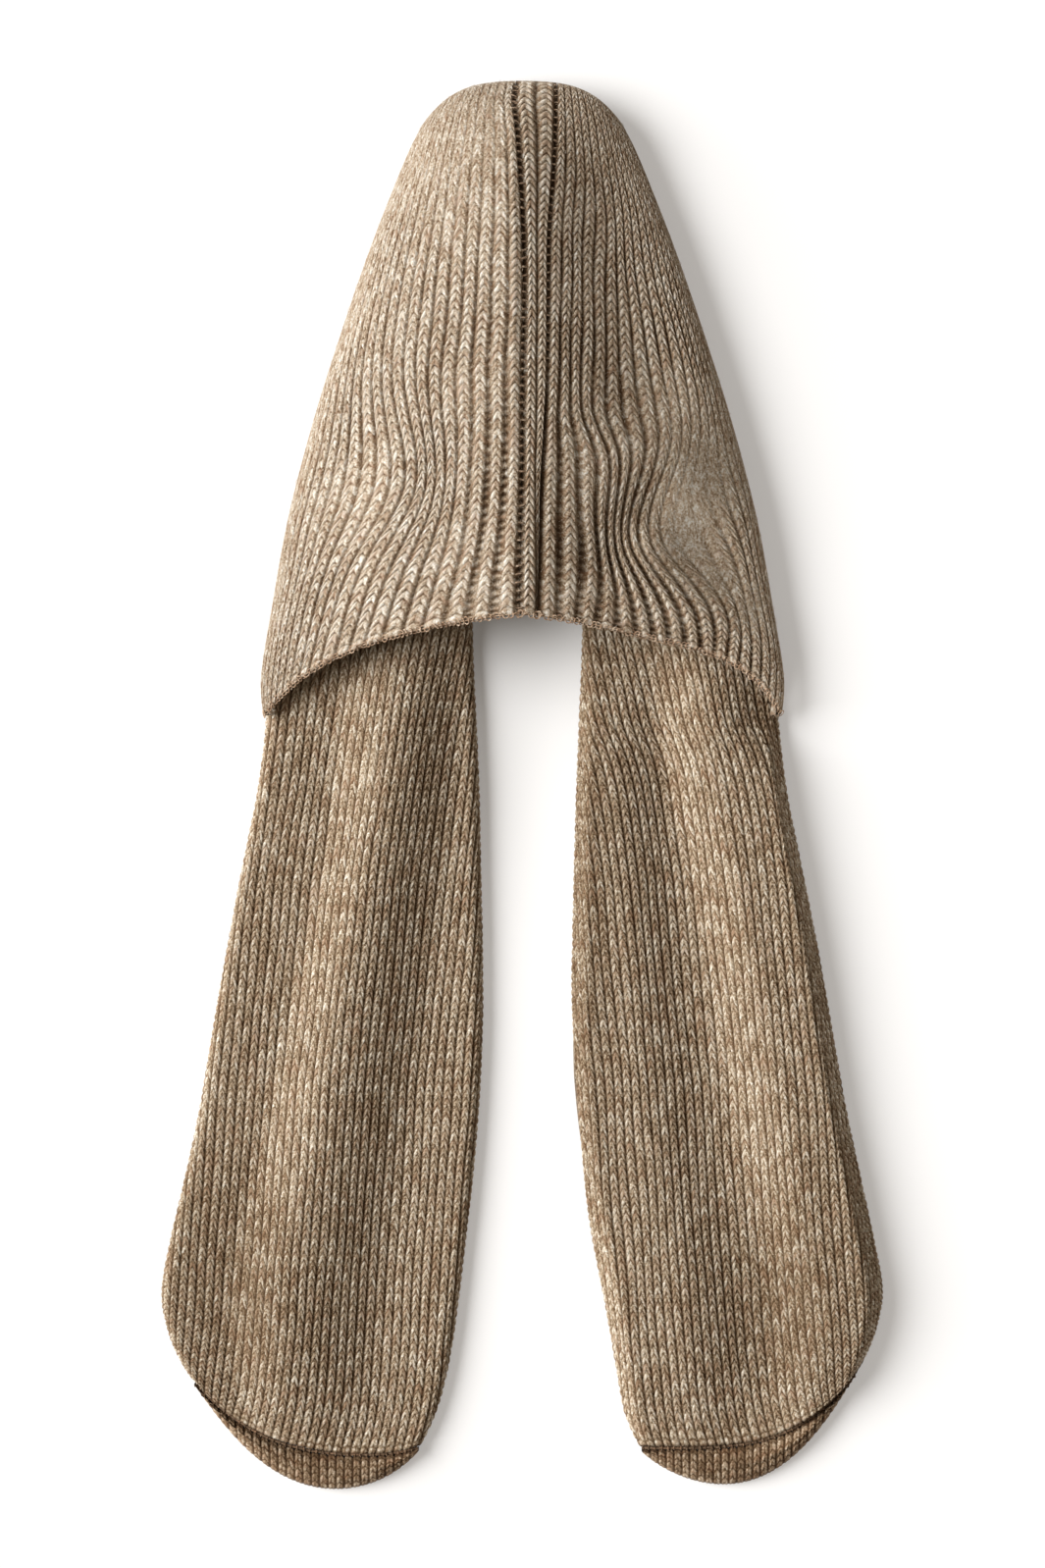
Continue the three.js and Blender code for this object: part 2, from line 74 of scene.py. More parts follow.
class Table:
    """A short table of sections, whose columns are read as smooth curves."""

    def __init__(self, names: str, *rows: tuple[float, ...]) -> None:
        """Takes the column names in one string, and one tuple for each section."""
        self.columns = {name: np.array(values, float) for name, values in zip(names.split(), zip(*rows))}
        self.last = len(rows) - 1

    def at(self, name: str, where: np.ndarray) -> np.ndarray:
        """Reads one column between its rows.

        Args:
            name: the column.
            where: row numbers, counted from 0, with fractions.

        Returns:
            The values there, on a curve that passes through every row.
        """
        where = np.asarray(where, float)
        i = np.clip(np.floor(where).astype(int), 0, self.last - 1)
        f = where - i
        a, b, c, d = (self.columns[name][np.clip(i + step, 0, self.last)] for step in (-1, 0, 1, 2))
        return b + 0.5 * f * (c - a + f * (2 * a - 5 * b + 4 * c - d + f * (3 * (b - c) + d - a)))


def smooth(x: np.ndarray) -> np.ndarray:
    """An easy step from 0 to 1."""
    x = np.clip(x, 0, 1)
    return x * x * (3 - 2 * x)


def ripple(x: np.ndarray, y: np.ndarray, seed: int) -> np.ndarray:
    """A gentle unevenness between about -1 and 1, the same each run.

    Args:
        x: one coordinate, where 1 is about one swell.
        y: the other coordinate.
        seed: which unevenness.

    Returns:
        The value at each place.
    """
    rng = np.random.default_rng(seed)
    total = np.zeros(np.broadcast(x, y).shape)
    waves = 7
    for _ in range(waves):
        turn = rng.uniform(0, 2 * math.pi)
        pace = rng.uniform(0.5, 1.6) * math.pi
        total = total + np.sin(pace * (x * math.cos(turn) + y * math.sin(turn)) + rng.uniform(0, 2 * math.pi))
    return total / math.sqrt(2 * waves)


def scatter(i: np.ndarray, j: np.ndarray, seed: int) -> np.ndarray:
    """A value from 0 to 1 for each pair of whole numbers, with no pattern, the same each run."""
    n = np.sin(np.floor(i) * 127.1 + np.floor(j) * 311.7 + seed * 74.7) * 43758.5453
    return n - np.floor(n)


def unit_normals(points: np.ndarray) -> np.ndarray:
    """Normals of a grid of points, towards columns x rows.

    Args:
        points: rows x columns x 3.

    Returns:
        Unit vectors of the same shape.
    """
    n = np.cross(np.gradient(points, axis=1), np.gradient(points, axis=0))
    return n / np.maximum(np.linalg.norm(n, axis=-1, keepdims=True), 1e-9)


@dataclass(frozen=True)
class Stitch:
    """The knit stitch: two legs that lean together towards the crown, like a Greek lambda."""

    wale: float = 6.0
    course: float = 5.5
    lean: float = 1.25
    bow: float = 1.3
    groove: float = 2.0
    crease: float = 0.55
    leg: float = 0.9
    leg_flat: float = 0.65
    leg_in_groove: float = 0.35
    # The painted shade in the groove, in the crease between the legs and at the foot of each loop.
    groove_from: float = 0.3
    groove_over: float = 0.17
    crease_half: float = 0.2
    crease_dark: float = 0.3
    foot_long: float = 1.5
    foot_dark: float = 0.62
    lowest: float = 0.8
    uneven: float = 0.4
    rows: int = 4
    across: tuple[float, ...] = (-0.5, -0.25, 0.0, 0.25)

    def crest(self, a: np.ndarray) -> np.ndarray:
        """Height of the wale at a, from -0.5 to 0.5 across it: 1 on each leg and 0 in the groove.

        Args:
            a: place across the wale.

        Returns:
            The height there.
        """
        side = np.abs(a)
        inner = self.crease + (1 - self.crease) * np.sin(0.5 * math.pi * np.clip(side / 0.25, 0, 1))
        outer = np.cos(0.5 * math.pi * np.clip((side - 0.25) / 0.25, 0, 1))
        return np.where(side < 0.25, inner, outer)

    def loop(self, c: np.ndarray) -> np.ndarray:
        """Roundness of the leg across its own thickness, where c counts rows of stitches."""
        return np.abs(np.sin(math.pi * c)) ** self.leg_flat

    def relief(self, a: np.ndarray, c: np.ndarray) -> np.ndarray:
        """Height of the knit over its mean skin, in millimetres.

        Args:
            a: place across the wale, -0.5 to 0.5.
            c: row number, with fractions.

        Returns:
            The height, 0 on top of a leg and negative below it.
        """
        crest = self.crest(a)
        leg = self.leg * (self.leg_in_groove + (1 - self.leg_in_groove) * crest)
        return self.groove * (crest - 1) + (self.loop(c) - 1) * leg

    def hollow(self, a: np.ndarray, c: np.ndarray) -> np.ndarray:
        """Painted shade, for how hidden from the light the yarn is: 1 in the groove and at the foot of each
        loop.

        Args:
            a: place across the wale, -0.5 to 0.5.
            c: row number, with fractions.

        Returns:
            The value there, 0 to 1.
        """
        side = np.abs(a)
        groove = np.clip((side - self.groove_from) / self.groove_over, 0, 1)
        crease = np.clip(1 - side / self.crease_half, 0, 1)
        foot = np.clip(1 - self.loop(c) * self.foot_long, 0, 1) * (self.foot_dark + 0.2 * crease)
        return 1 - (1 - groove) * (1 - self.crease_dark * crease) * (1 - foot)

    def height_share(self, i: np.ndarray, j: np.ndarray, seed: int) -> np.ndarray:
        """How high the stitch with the numbers i, j stands, as a share of the usual height."""
        return self.lowest + self.uneven * scatter(i, j, seed)

    def shift(self, a: np.ndarray) -> np.ndarray:
        """How far, in rows, a leg has climbed at a."""
        return self.lean * (0.5 - (2 * np.abs(a)) ** self.bow)


class Cloth:
    """A closed mesh that is put together from grids of points, with a knit coordinate at each point."""

    def __init__(self, name: str) -> None:
        """Starts an empty mesh.

        Args:
            name: the CAD node's name. The piece's name has _knit behind it.
        """
        self.name = name
        self.points: list[np.ndarray] = []
        self.knit: list[np.ndarray] = []
        self.hollow: list[np.ndarray] = []
        self.blurred: list[np.ndarray] = []
        self.quads: list[np.ndarray] = []
        self.corners: list[tuple[int, int, int]] = []
        self.count = 0

    def add(
        self, points: np.ndarray, knit: np.ndarray, hollow: np.ndarray, blurred: np.ndarray | float = 0.0
    ) -> np.ndarray:
        """Adds points.

        Args:
            points: places in millimetres, any shape x 3.
            knit: wale and row numbers at them, the same shape x 2.
            hollow: painted shade, 1 deep between stitches, 0 on top, the same shape.
            blurred: 1 where the knit is stretched until no stitch shows, 0 elsewhere, the same shape.

        Returns:
            The numbers of the new points, in the same shape.
        """
        shape = points.shape[:-1]
        new = np.arange(self.count, self.count + int(np.prod(shape))).reshape(shape)
        self.count += new.size
        self.points.append(points.reshape(-1, 3))
        self.knit.append(np.broadcast_to(knit, (*shape, 2)).reshape(-1, 2))
        self.hollow.append(np.broadcast_to(hollow, shape).reshape(-1))
        self.blurred.append(np.broadcast_to(blurred, shape).reshape(-1))
        return new

    def skin(self, ids: np.ndarray, flip: bool, closed: bool = False) -> None:
        """Fills a grid of point numbers with faces; closed joins its last column to its first.

        Args:
            ids: the point numbers.
            flip: turns the faces round.
            closed: whether the grid runs round.
        """
        if closed:
            ids = np.concatenate([ids, ids[:, :1]], axis=1)
        quads = np.stack([ids[:-1, :-1], ids[:-1, 1:], ids[1:, 1:], ids[1:, :-1]], axis=-1).reshape(-1, 4)
        self.quads.append(quads[:, ::-1] if flip else quads)

    def lace(self, one: np.ndarray, other: np.ndarray, flip: bool) -> None:
        """Joins two lines of points that run side by side, whatever their numbers of points.

        Args:
            one: the first line's point numbers.
            other: the second line's.
            flip: turns the faces round.
        """
        one = [int(n) for n in (one[::-1] if flip else one)]
        other = [int(n) for n in (other[::-1] if flip else other)]
        i = j = 0
        while i < len(one) - 1 or j < len(other) - 1:
            ahead = (i + 1) / max(len(one) - 1, 1) <= (j + 1) / max(len(other) - 1, 1)
            if j == len(other) - 1 or (i < len(one) - 1 and ahead):
                self.corners.append((one[i], one[i + 1], other[j]))
                i += 1
            else:
                self.corners.append((one[i], other[j + 1], other[j]))
                j += 1

    def build(self, material: bpy.types.Material) -> bpy.types.Object:
        """Makes the mesh object, with its UV map, its hollow attribute for painted shade, and its blurred
        attribute.

        Args:
            material: the yarn that it is dressed in.

        Returns:
            The object, named after the piece.
        """
        points = np.concatenate(self.points) * MM
        knit = np.concatenate(self.knit)
        mesh = bpy.data.meshes.new(self.name)
        faces = [tuple(q) for q in np.concatenate(self.quads).tolist()] + self.corners
        mesh.from_pydata(points.tolist(), [], faces)
        loops = np.empty(len(mesh.loops), np.int32)
        mesh.loops.foreach_get("vertex_index", loops)
        layer = mesh.uv_layers.new(name="knit")
        layer.data.foreach_set("uv", knit[loops].astype(np.float32).ravel())
        for name, values in (("hollow", self.hollow), ("blurred", self.blurred)):
            painted = mesh.attributes.new(name, "FLOAT", "POINT")
            painted.data.foreach_set("value", np.concatenate(values).astype(np.float32))
        mesh.shade_smooth()
        mesh.materials.append(material)
        mesh.validate()
        piece = bpy.data.objects.new(f"{self.name}_knit", mesh)
        bpy.context.scene.collection.objects.link(piece)
        return piece


# Hood sections from the hem to the crown, each a line across the hood: y on the centre line, the place and
# half width where it meets the side fold, the height of the ridge, how full and how round the arch is on the
# left, how fast it drops on the right, the two seams of the centre band, how the ribs close up towards the
# fold on each side, and the line's own curve.
HOOD = Table(
    "y foldY half rise fullLeft roundLeft dropRight bandLeft bandRight gatherLeft gatherRight "
    "soft turnLeft turnRight",
    (112, 46, 174, 72, 1.3, 1.2, 1.3, -1.7, 10.2, 2.15, 1.6, 0.5, 5, 8),
    (150, 72, 175.5, 77, 1.3, 1.2, 1.25, -1.7, 11.4, 1.8, 1.58, 0.5, 5, 7),
    (205, 120, 168, 82, 1.32, 1.25, 1.05, -0.7, 12.4, 1.6, 1.52, 0.45, 4.6, 5),
    (262, 180, 157, 84, 1.4, 1.4, 1.1, 0.3, 17.6, 1.6, 1.38, 0.4, 4.2, 4.2),
    (315, 245, 140, 83, 1.55, 1.75, 1.15, 1.8, 18.2, 1.65, 1.4, 0.35, 3.8, 3.8),
    (362, 308, 120, 79, 1.55, 1.8, 1.15, 1.5, 18.2, 1.75, 1.5, 0.3, 3.6, 3.6),
    (402, 360, 102, 71, 1.6, 1.8, 1.1, -0.6, 21, 1.85, 1.7, 0.24, 3.5, 3.5),
    (434, 400, 86.5, 59, 1.8, 1.8, 1.1, -3, 22.6, 1.9, 1.8, 0.18, 3.5, 3.5),
    (455, 424, 76.5, 46, 2.2, 1.8, 0.9, -5.6, 23.2, 1.9, 1.85, 0.13, 3.5, 3.5),
    (467, 437, 70, 33, 2.6, 1.8, 0.7, -5, 23.3, 1.8, 1.8, 0.1, 3.5, 3.5),
    (472, 442, 67.5, 21, 2.8, 1.8, 0.7, -4.6, 23.2, 1.7, 1.7, 0.1, 3.5, 3.5),
)

# Scarf sections from the crown, under the hood, to the toe seam: the inner edge, the outer edge, and how
# far the section line sags between them.
SCARF = {
    Side.LEFT: Table(
        "innerX innerY outerX outerY bow",
        (-0.3, 466, -65, 441, -11), (-0.3, 436, -76, 418, -6), (-1.5, 400, -90, 389, -3),
        (-12, 352, -104, 350, 0), (-21, 302, -121, 302, 0), (-27, 250, -137.5, 250, 0),
        (-31, 195, -152.5, 195, 0), (-33, 140, -164.5, 140, 0), (-32.8, 90, -172, 90, 0),
        (-30.5, 40, -173.5, 40, 0), (-28.6, -5, -179, -5, 0), (-27.6, -55, -189, -55, 0),
        (-26.4, -110, -199.3, -110, 0), (-26.4, -165, -209, -165, 0), (-29, -218, -217.8, -218, 0),
        (-33.5, -270, -228.5, -268, 2), (-38.7, -315, -238.5, -311, 4), (-43.5, -355, -243.5, -343, 7),
        (-49.5, -392, -239, -369, 12), (-57, -421, -231, -388, 17), (-68, -446, -222.5, -401.5, 22),
    ),
    Side.RIGHT: Table(
        "innerX innerY outerX outerY bow",
        (0.3, 466, 65, 441, -11), (0.3, 436, 76, 418, -6), (1.5, 400, 90, 389, -3),
        (14, 352, 104, 350, 0), (25, 302, 120.5, 302, 0), (33, 250, 136.5, 250, 0),
        (38, 195, 151.5, 195, 0), (40, 140, 163, 140, 0), (39.5, 90, 170.5, 90, 0),
        (37.5, 40, 173.2, 40, 0), (35.8, -5, 178.5, -5, 0), (34.3, -55, 188.4, -55, 0),
        (33.1, -110, 199.3, -110, 0), (32.1, -165, 209, -165, 0), (34.8, -218, 218.3, -218, 0),
        (40.5, -270, 228.5, -266, 2), (48.2, -315, 237.5, -308, 4), (56, -355, 243, -340, 7),
        (62.8, -394, 239.5, -364, 12), (68.5, -424, 233, -382, 16), (78.5, -447, 225.5, -394.5, 21.5),
    ),
}

# The wales of the tails drift outwards on their way down: at each y, how far out the first wale lies.
DRIFT_Y = (-440, -410, -331, -199, -67, 65, 115, 470)
DRIFT_OUT = (252, 251, 248, 239.3, 226, 208, 201, 150)


@dataclass(frozen=True)
class Swirl:
    """A place where the knit is pushed sideways, so that its ribs bend."""

    x: float
    y: float
    reach_x: float
    reach_y: float
    push_x: float
    push_y: float

    def near(self, x: np.ndarray, y: np.ndarray) -> np.ndarray:
        """How much of the push the knit at x, y gets, 0 to 1."""
        return np.exp(-0.5 * (((x - self.x) / self.reach_x) ** 2 + ((y - self.y) / self.reach_y) ** 2))


@dataclass(frozen=True)
class Pinch:
    """A place where the ribs of one side are drawn together towards the seam."""

    start: float
    most: float
    end: float
    y: float
    reach_down: float
    reach_up: float
    depth: float
    side: Side = Side.RIGHT

    def pull(self, x: np.ndarray, y: np.ndarray) -> np.ndarray:
        """The step to the left, or below 0 to the right, that draws the knit at x, y towards the seam.

        Args:
            x: places across.
            y: places along.

        Returns:
            The steps, in millimetres.
        """
        out = x * self.side.value
        rise = smooth((out - self.start) / (self.most - self.start))
        fall = 1 - smooth((out - self.most) / (self.end - self.most))
        reach = np.where(y > self.y, self.reach_up, self.reach_down)
        return self.side.value * self.depth * rise * fall * np.exp(-(((y - self.y) / reach) ** 2))


@dataclass(frozen=True)
class Worn:
    """A soft patch whose knit is rubbed flat and fuzzy, with painted shade where dim is above 0 and painted
    light where it is below 0.
    """

    x: float
    y: float
    reach_x: float
    reach_y: float
    flat: float = 0.5
    fuzz: float = 0.0
    dim: float = 0.0

    def at(self, x: np.ndarray, y: np.ndarray) -> np.ndarray:
        """How much of the patch's wear and painted light the knit at x, y gets, 0 to 1."""
        return np.exp(-(((x - self.x) / self.reach_x) ** 2) - ((y - self.y) / self.reach_y) ** 2)


# The hood's patches: some rubbed flat and fuzzy, some with painted light where dim is below 0.
HOOD_WEAR_AND_PAINTED_LIGHT = {
    Side.LEFT: (
        Worn(-85, 150, 60, 55, flat=0, dim=-0.07),
        Worn(-40, 415, 35, 40, flat=0.2, dim=-0.07),
    ),
    Side.RIGHT: (
        Worn(104, 243, 42, 42),
        Worn(46, 220, 28, 32, flat=0.3, dim=-0.12),
        Worn(60, 170, 70, 90, flat=0.2),
        Worn(110, 170, 23, 30, flat=0.92, fuzz=0.9),
        Worn(120, 204, 24, 34, flat=0.85, fuzz=0.85),
        Worn(134, 138, 16, 15, flat=0.8, fuzz=0.7),
        Worn(153, 117, 12, 14, flat=0.7, fuzz=0.6),
    ),
}
# Painted shade on the tails: on patches that face the key light, and along the right tail's inner edge.
TAIL_PAINTED_SHADE = {
    Side.LEFT: (Worn(-195, -335, 45, 75, dim=0.25),),
    Side.RIGHT: (Worn(175, -350, 42, 75, dim=0.25), Worn(38, -70, 17, 240, dim=0.3)),
}


@dataclass(frozen=True)
class Fold:
    """A soft ridge along a line, or with a negative lift a crease."""

    x0: float
    y0: float
    x1: float
    y1: float
    width: float
    lift: float

    def height(self, x: np.ndarray, y: np.ndarray) -> np.ndarray:
        """How far it lifts the skin at x, y.

        Args:
            x: places across.
            y: places along.

        Returns:
            The lifts, in millimetres.
        """
        dx = self.x1 - self.x0
        dy = self.y1 - self.y0
        t = np.clip(((x - self.x0) * dx + (y - self.y0) * dy) / (dx * dx + dy * dy), 0, 1)
        d = np.hypot(x - self.x0 - t * dx, y - self.y0 - t * dy) / self.width
        return self.lift * np.exp(-d * d)


@dataclass(frozen=True)
class Ridge:
    """A lengthwise fold of the scarf, where both layers stand off the floor."""

    at0: float
    at1: float
    y_top: float
    y_end: float
    reach_in: float
    reach_out: float
    lift: float
    settled_y: float = -330.0
    spread_y: float = 50.0
    narrow: float = 0.32
    fade: float = 110.0
    edge: float = 0.07

    def height(self, y: np.ndarray, v: np.ndarray) -> np.ndarray:
        """How far it lifts the scarf at y and at share v from the inner edge to the outer.

        Args:
            y: places along the scarf.
            v: shares of its width.

        Returns:
            The lifts, in millimetres.
        """
        down = np.clip((self.y_top - y) / (self.y_top - self.settled_y), 0, 1)
        fade = np.clip(np.minimum((self.y_top - y) / self.fade, (y - self.y_end) / self.fade), 0, 1)
        place = self.at0 + (self.at1 - self.at0) * np.sin(0.5 * math.pi * down)
        spread = smooth((self.spread_y - y) / self.fade)
        reach = self.narrow + (np.where(v < place, self.reach_in, self.reach_out) - self.narrow) * spread
        d = np.clip(np.abs(v - place) / reach, 0, 1)
        edge = smooth(np.minimum(v, 1 - v) / self.edge)
        return self.lift * fade * (2 - fade) * (1 - d * d) ** 2 * edge


@dataclass(frozen=True)
class Dome:
    """The hood's mean skin, an arch over the scarf that closes at the crown."""

    fold_z: float = 21.0
    peak_x: float = -6.0
    scarf_top: float = 14.3
    bench: float = 0.16
    bench_power: int = 5
    soft_power: float = 1.3
    hold_power: int = 6
    fold_start: float = 1.6
    swirls: tuple[Swirl, ...] = (
        Swirl(-78, 205, 42, 48, 7, 0),
        Swirl(108, 160, 38, 42, -3, -6),
    )
    pinches: tuple[Pinch, ...] = (
        Pinch(40, 128, 151, 166, 36, 48, 33),
        Pinch(4, 64, 112, 250, 24, 85, 11),
        Pinch(42, 108, 168, 200, 42, 54, 18, Side.LEFT),
    )
    folds: tuple[Fold, ...] = (
        Fold(84, 150, 168, 74, 17, 4),
        Fold(92, 184, 160, 124, 20, -8),
        Fold(86, 270, 66, 390, 34, -8),
        Fold(-96, 150, -74, 240, 26, 5),
        Fold(66, 150, 72, 176, 22, -4),
    )
    tuck: tuple[tuple[float, float], ...] = ((0.6, 18.0), (1.2, 15.6), (1.7, 14.5))

    def skin(self, t: np.ndarray, x: np.ndarray, side: Side) -> np.ndarray:
        """Places of the mean skin.

        Args:
            t: section number in the hood table, 0 at the hem.
            x: place across the hood, in millimetres.
            side: whose section curve is used.

        Returns:
            Points in millimetres, the shape of t and x with 3 more.
        """
        half = HOOD.at("half", t)
        soft = HOOD.at("soft", t)
        centre = HOOD.at("y", t)
        across = np.clip(np.abs(x) / half, 0, 1)
        hold = 1 - across**self.hold_power
        fall = soft * across**self.soft_power + (1 - soft) * across ** HOOD.at(side.column("turn"), t)
        px = x + 0 * t
        py = centre - (centre - HOOD.at("foldY", t)) * fall
        for swirl in self.swirls:
            push = swirl.near(x, py) * hold
            px = px + swirl.push_x * push
            py = py + swirl.push_y * push
        drawn = x + 0 * t
        for pinch in self.pinches:
            pull = pinch.pull(x, py) * hold
            px = px - pull
            drawn = drawn - pull
        arch = self.arch(t, drawn, half)
        z = self.fold_z + (HOOD.at("rise", t) - self.fold_z) * arch
        for fold in self.folds:
            z = z + fold.height(px, py) * np.minimum(self.fold_start * arch, 1)
        return np.stack([px, py, z], axis=-1)

    def arch(self, t: np.ndarray, x: np.ndarray, half: np.ndarray) -> np.ndarray:
        """The section curve: 1 on the ridge, 0 at the side folds, round on the left, benched on the right.

        Args:
            t: section number in the hood table.
            x: place across the hood.
            half: the section's half width.

        Returns:
            The share of the ridge's rise.
        """
        left = x < self.peak_x
        away = np.abs(x - self.peak_x) / np.where(left, half + self.peak_x, half - self.peak_x)
        away = np.clip(away, 0, 1)
        round_side = (1 - away ** HOOD.at("fullLeft", t)) ** (1 / HOOD.at("roundLeft", t))
        flat_side = (1 - self.bench) * (1 - away) ** HOOD.at("dropRight", t)
        flat_side = flat_side + self.bench * np.sqrt(1 - away**self.bench_power)
        return np.where(left, round_side, flat_side)

    def rows_to_sections(self, course: float) -> tuple[int, np.ndarray, np.ndarray]:
        """Counts the rows of stitches from hem to crown.

        Args:
            course: height of a row in millimetres.

        Returns:
            The number of rows, and two lists that turn a row number into a section number.
        """
        t = np.linspace(0, HOOD.last, 400)
        line = self.skin(t, np.full_like(t, self.peak_x), Side.LEFT)
        run = np.concatenate([[0], np.cumsum(np.linalg.norm(np.diff(line, axis=0), axis=1))])
        rows = int(round(run[-1] / course))
        return rows, run / run[-1] * rows, t


@dataclass(frozen=True)
class RibKnit:
    """Ribbing: a wale of knit stitches on the crest, and a valley with the rungs of the purl wale."""

    stitch: Stitch = Stitch(course=5.6, groove=1.1, crease=0.75, leg=1.3, lean=1.0, rows=5)
    crest: float = 0.9
    valley: float = 2.8
    shut_valley: float = 1.5
    shut_share: float = 0.14
    open_share: float = 0.46
    rung: float = 0.6
    steep: float = 1.6
    # Painted shade on the flanks of the knit wale, and painted light on the rungs in the valleys.
    flank_from: float = 0.3
    flank_dark: float = 0.55
    rung_light: float = 0.15
    open_rung_light: float = 0.6
    steps: tuple[float, ...] = (0.0, 0.11, 0.2, 0.34, 0.5, 0.66, 0.8, 0.89)

    def place(self, rib: np.ndarray, opening: np.ndarray) -> tuple[np.ndarray, np.ndarray]:
        """Finds a place in its rib.

        Args:
            rib: rib numbers with fractions, whole in the middle of a valley.
            opening: 0 where the valley is shut, 1 where it lies open.

        Returns:
            The place across the knit wale, -0.5 to 0.5, and how far into the valley it lies, 0 to 1.
        """
        offset = rib - np.floor(rib) - 0.5
        half = 0.5 * (1 - self.shut_share - (self.open_share - self.shut_share) * opening)
        inside = np.clip(0.5 * offset / half, -0.5, 0.5)
        return inside, np.clip((np.abs(offset) - half) / (0.5 - half), 0, 1)

    def surface(
        self, rib: np.ndarray, c: np.ndarray, opening: np.ndarray, ladder: np.ndarray
    ) -> tuple[np.ndarray, np.ndarray]:
        """Works out the ribbing.

        Args:
            rib: rib numbers.
            c: row numbers.
            opening: how open the valleys are.
            ladder: how far the rungs come out of the dark of the valleys, 0 to 1.

        Returns:
            Height over the mean skin in millimetres, and the painted shade for how hidden from the light it
            is, lifted by painted light on the rungs.
        """
        a, deep = self.place(rib, opening)
        deep = smooth(self.steep * deep)
        rungs = 0.5 - 0.5 * np.cos(2 * math.pi * c)
        depth = self.shut_valley + (self.valley - self.shut_valley) * opening
        rung = self.rung * (1 + opening) * ladder
        height = (self.crest + self.stitch.relief(a, c)) * (1 - deep) + (rung * rungs - depth) * deep
        # Painted shade in the knit, on its flanks and in the valleys, lightened by painted light on the
        # rungs.
        dark = self.stitch.hollow(a, c)
        flank = self.flank_dark + (1 - self.flank_dark) * deep
        dark = np.where(np.abs(a) > self.flank_from, dark * flank, dark)
        light = (self.rung_light + self.open_rung_light * opening) * ladder * rungs
        return height, dark * (1 - deep) + (1 - light) * deep


def rows_of(course_count: int, per_row: int) -> np.ndarray:
    """Row numbers from 0 to the last, with a fixed number of steps a row."""
    return np.arange(course_count * per_row + 1) / per_row


@dataclass(frozen=True)
class Valleys:
    """The valleys between the ribs of one side: how open they lie, and where their rungs show."""

    open_ribs: float
    closing_ribs: float
    closing: float
    beside: float
    rungs: float
    hem_rungs: float
    # darkness and low_dark set the painted shade in the valley beside the centre band.
    darkness: float
    low_dark: float
    open_rows: float = 8
    open_share: float = 0.6
    hem_rows: float = 3
    hem_over: float = 5
    crown_row: float = 34
    crown_over: float = 10
    low_row: float = 24
    low_over: float = 6
    band_reach: float = 0.5

    def by_band(self, rib: np.ndarray) -> np.ndarray:
        """1 in the valley beside the centre band, 0 away from it."""
        return np.exp(-((rib / self.band_reach) ** 2))

    def opening(self, rib: np.ndarray, c: np.ndarray, rows: int) -> np.ndarray:
        """How open the valleys lie: wide at the hem's middle and beside the band, shut towards the fold.

        Args:
            rib: rib numbers.
            c: row numbers.
            rows: how many rows there are.

        Returns:
            0 where a valley is shut, 1 where it lies open.
        """
        low = 1 - smooth((c - self.open_rows) / (self.open_share * rows))
        near = 1 - self.closing * smooth((rib - self.open_ribs) / self.closing_ribs)
        return np.maximum(low * near, self.beside * self.by_band(rib))

    def dark(self, c: np.ndarray) -> np.ndarray:
        """How much painted shade the valley beside the centre band gets at each row, 0 where it shows its
        rungs.
        """
        low = self.low_dark * (1 - smooth((c - self.low_row) / self.low_over))
        return np.maximum(smooth((c - self.crown_row) / self.crown_over), low)

    def ladder(self, rib: np.ndarray, c: np.ndarray, bridges: np.ndarray) -> np.ndarray:
        """How well the rungs show: all over, but for the valley beside the band, which gets painted shade."""
        lit = self.rungs + self.hem_rungs * (1 - smooth((c - self.hem_rows) / self.hem_over)) + bridges
        return lit * (1 - self.darkness * self.by_band(rib) * self.dark(c))


VALLEYS = {
    Side.LEFT: Valleys(
        open_ribs=1.2, closing_ribs=2.8, closing=1, beside=1,
        rungs=1, hem_rungs=0, darkness=1, low_dark=0,
    ),
    Side.RIGHT: Valleys(
        open_ribs=6, closing_ribs=6, closing=0.8, beside=0.7,
        rungs=0.4, hem_rungs=0.5, darkness=0.85, low_dark=1,
    ),
}


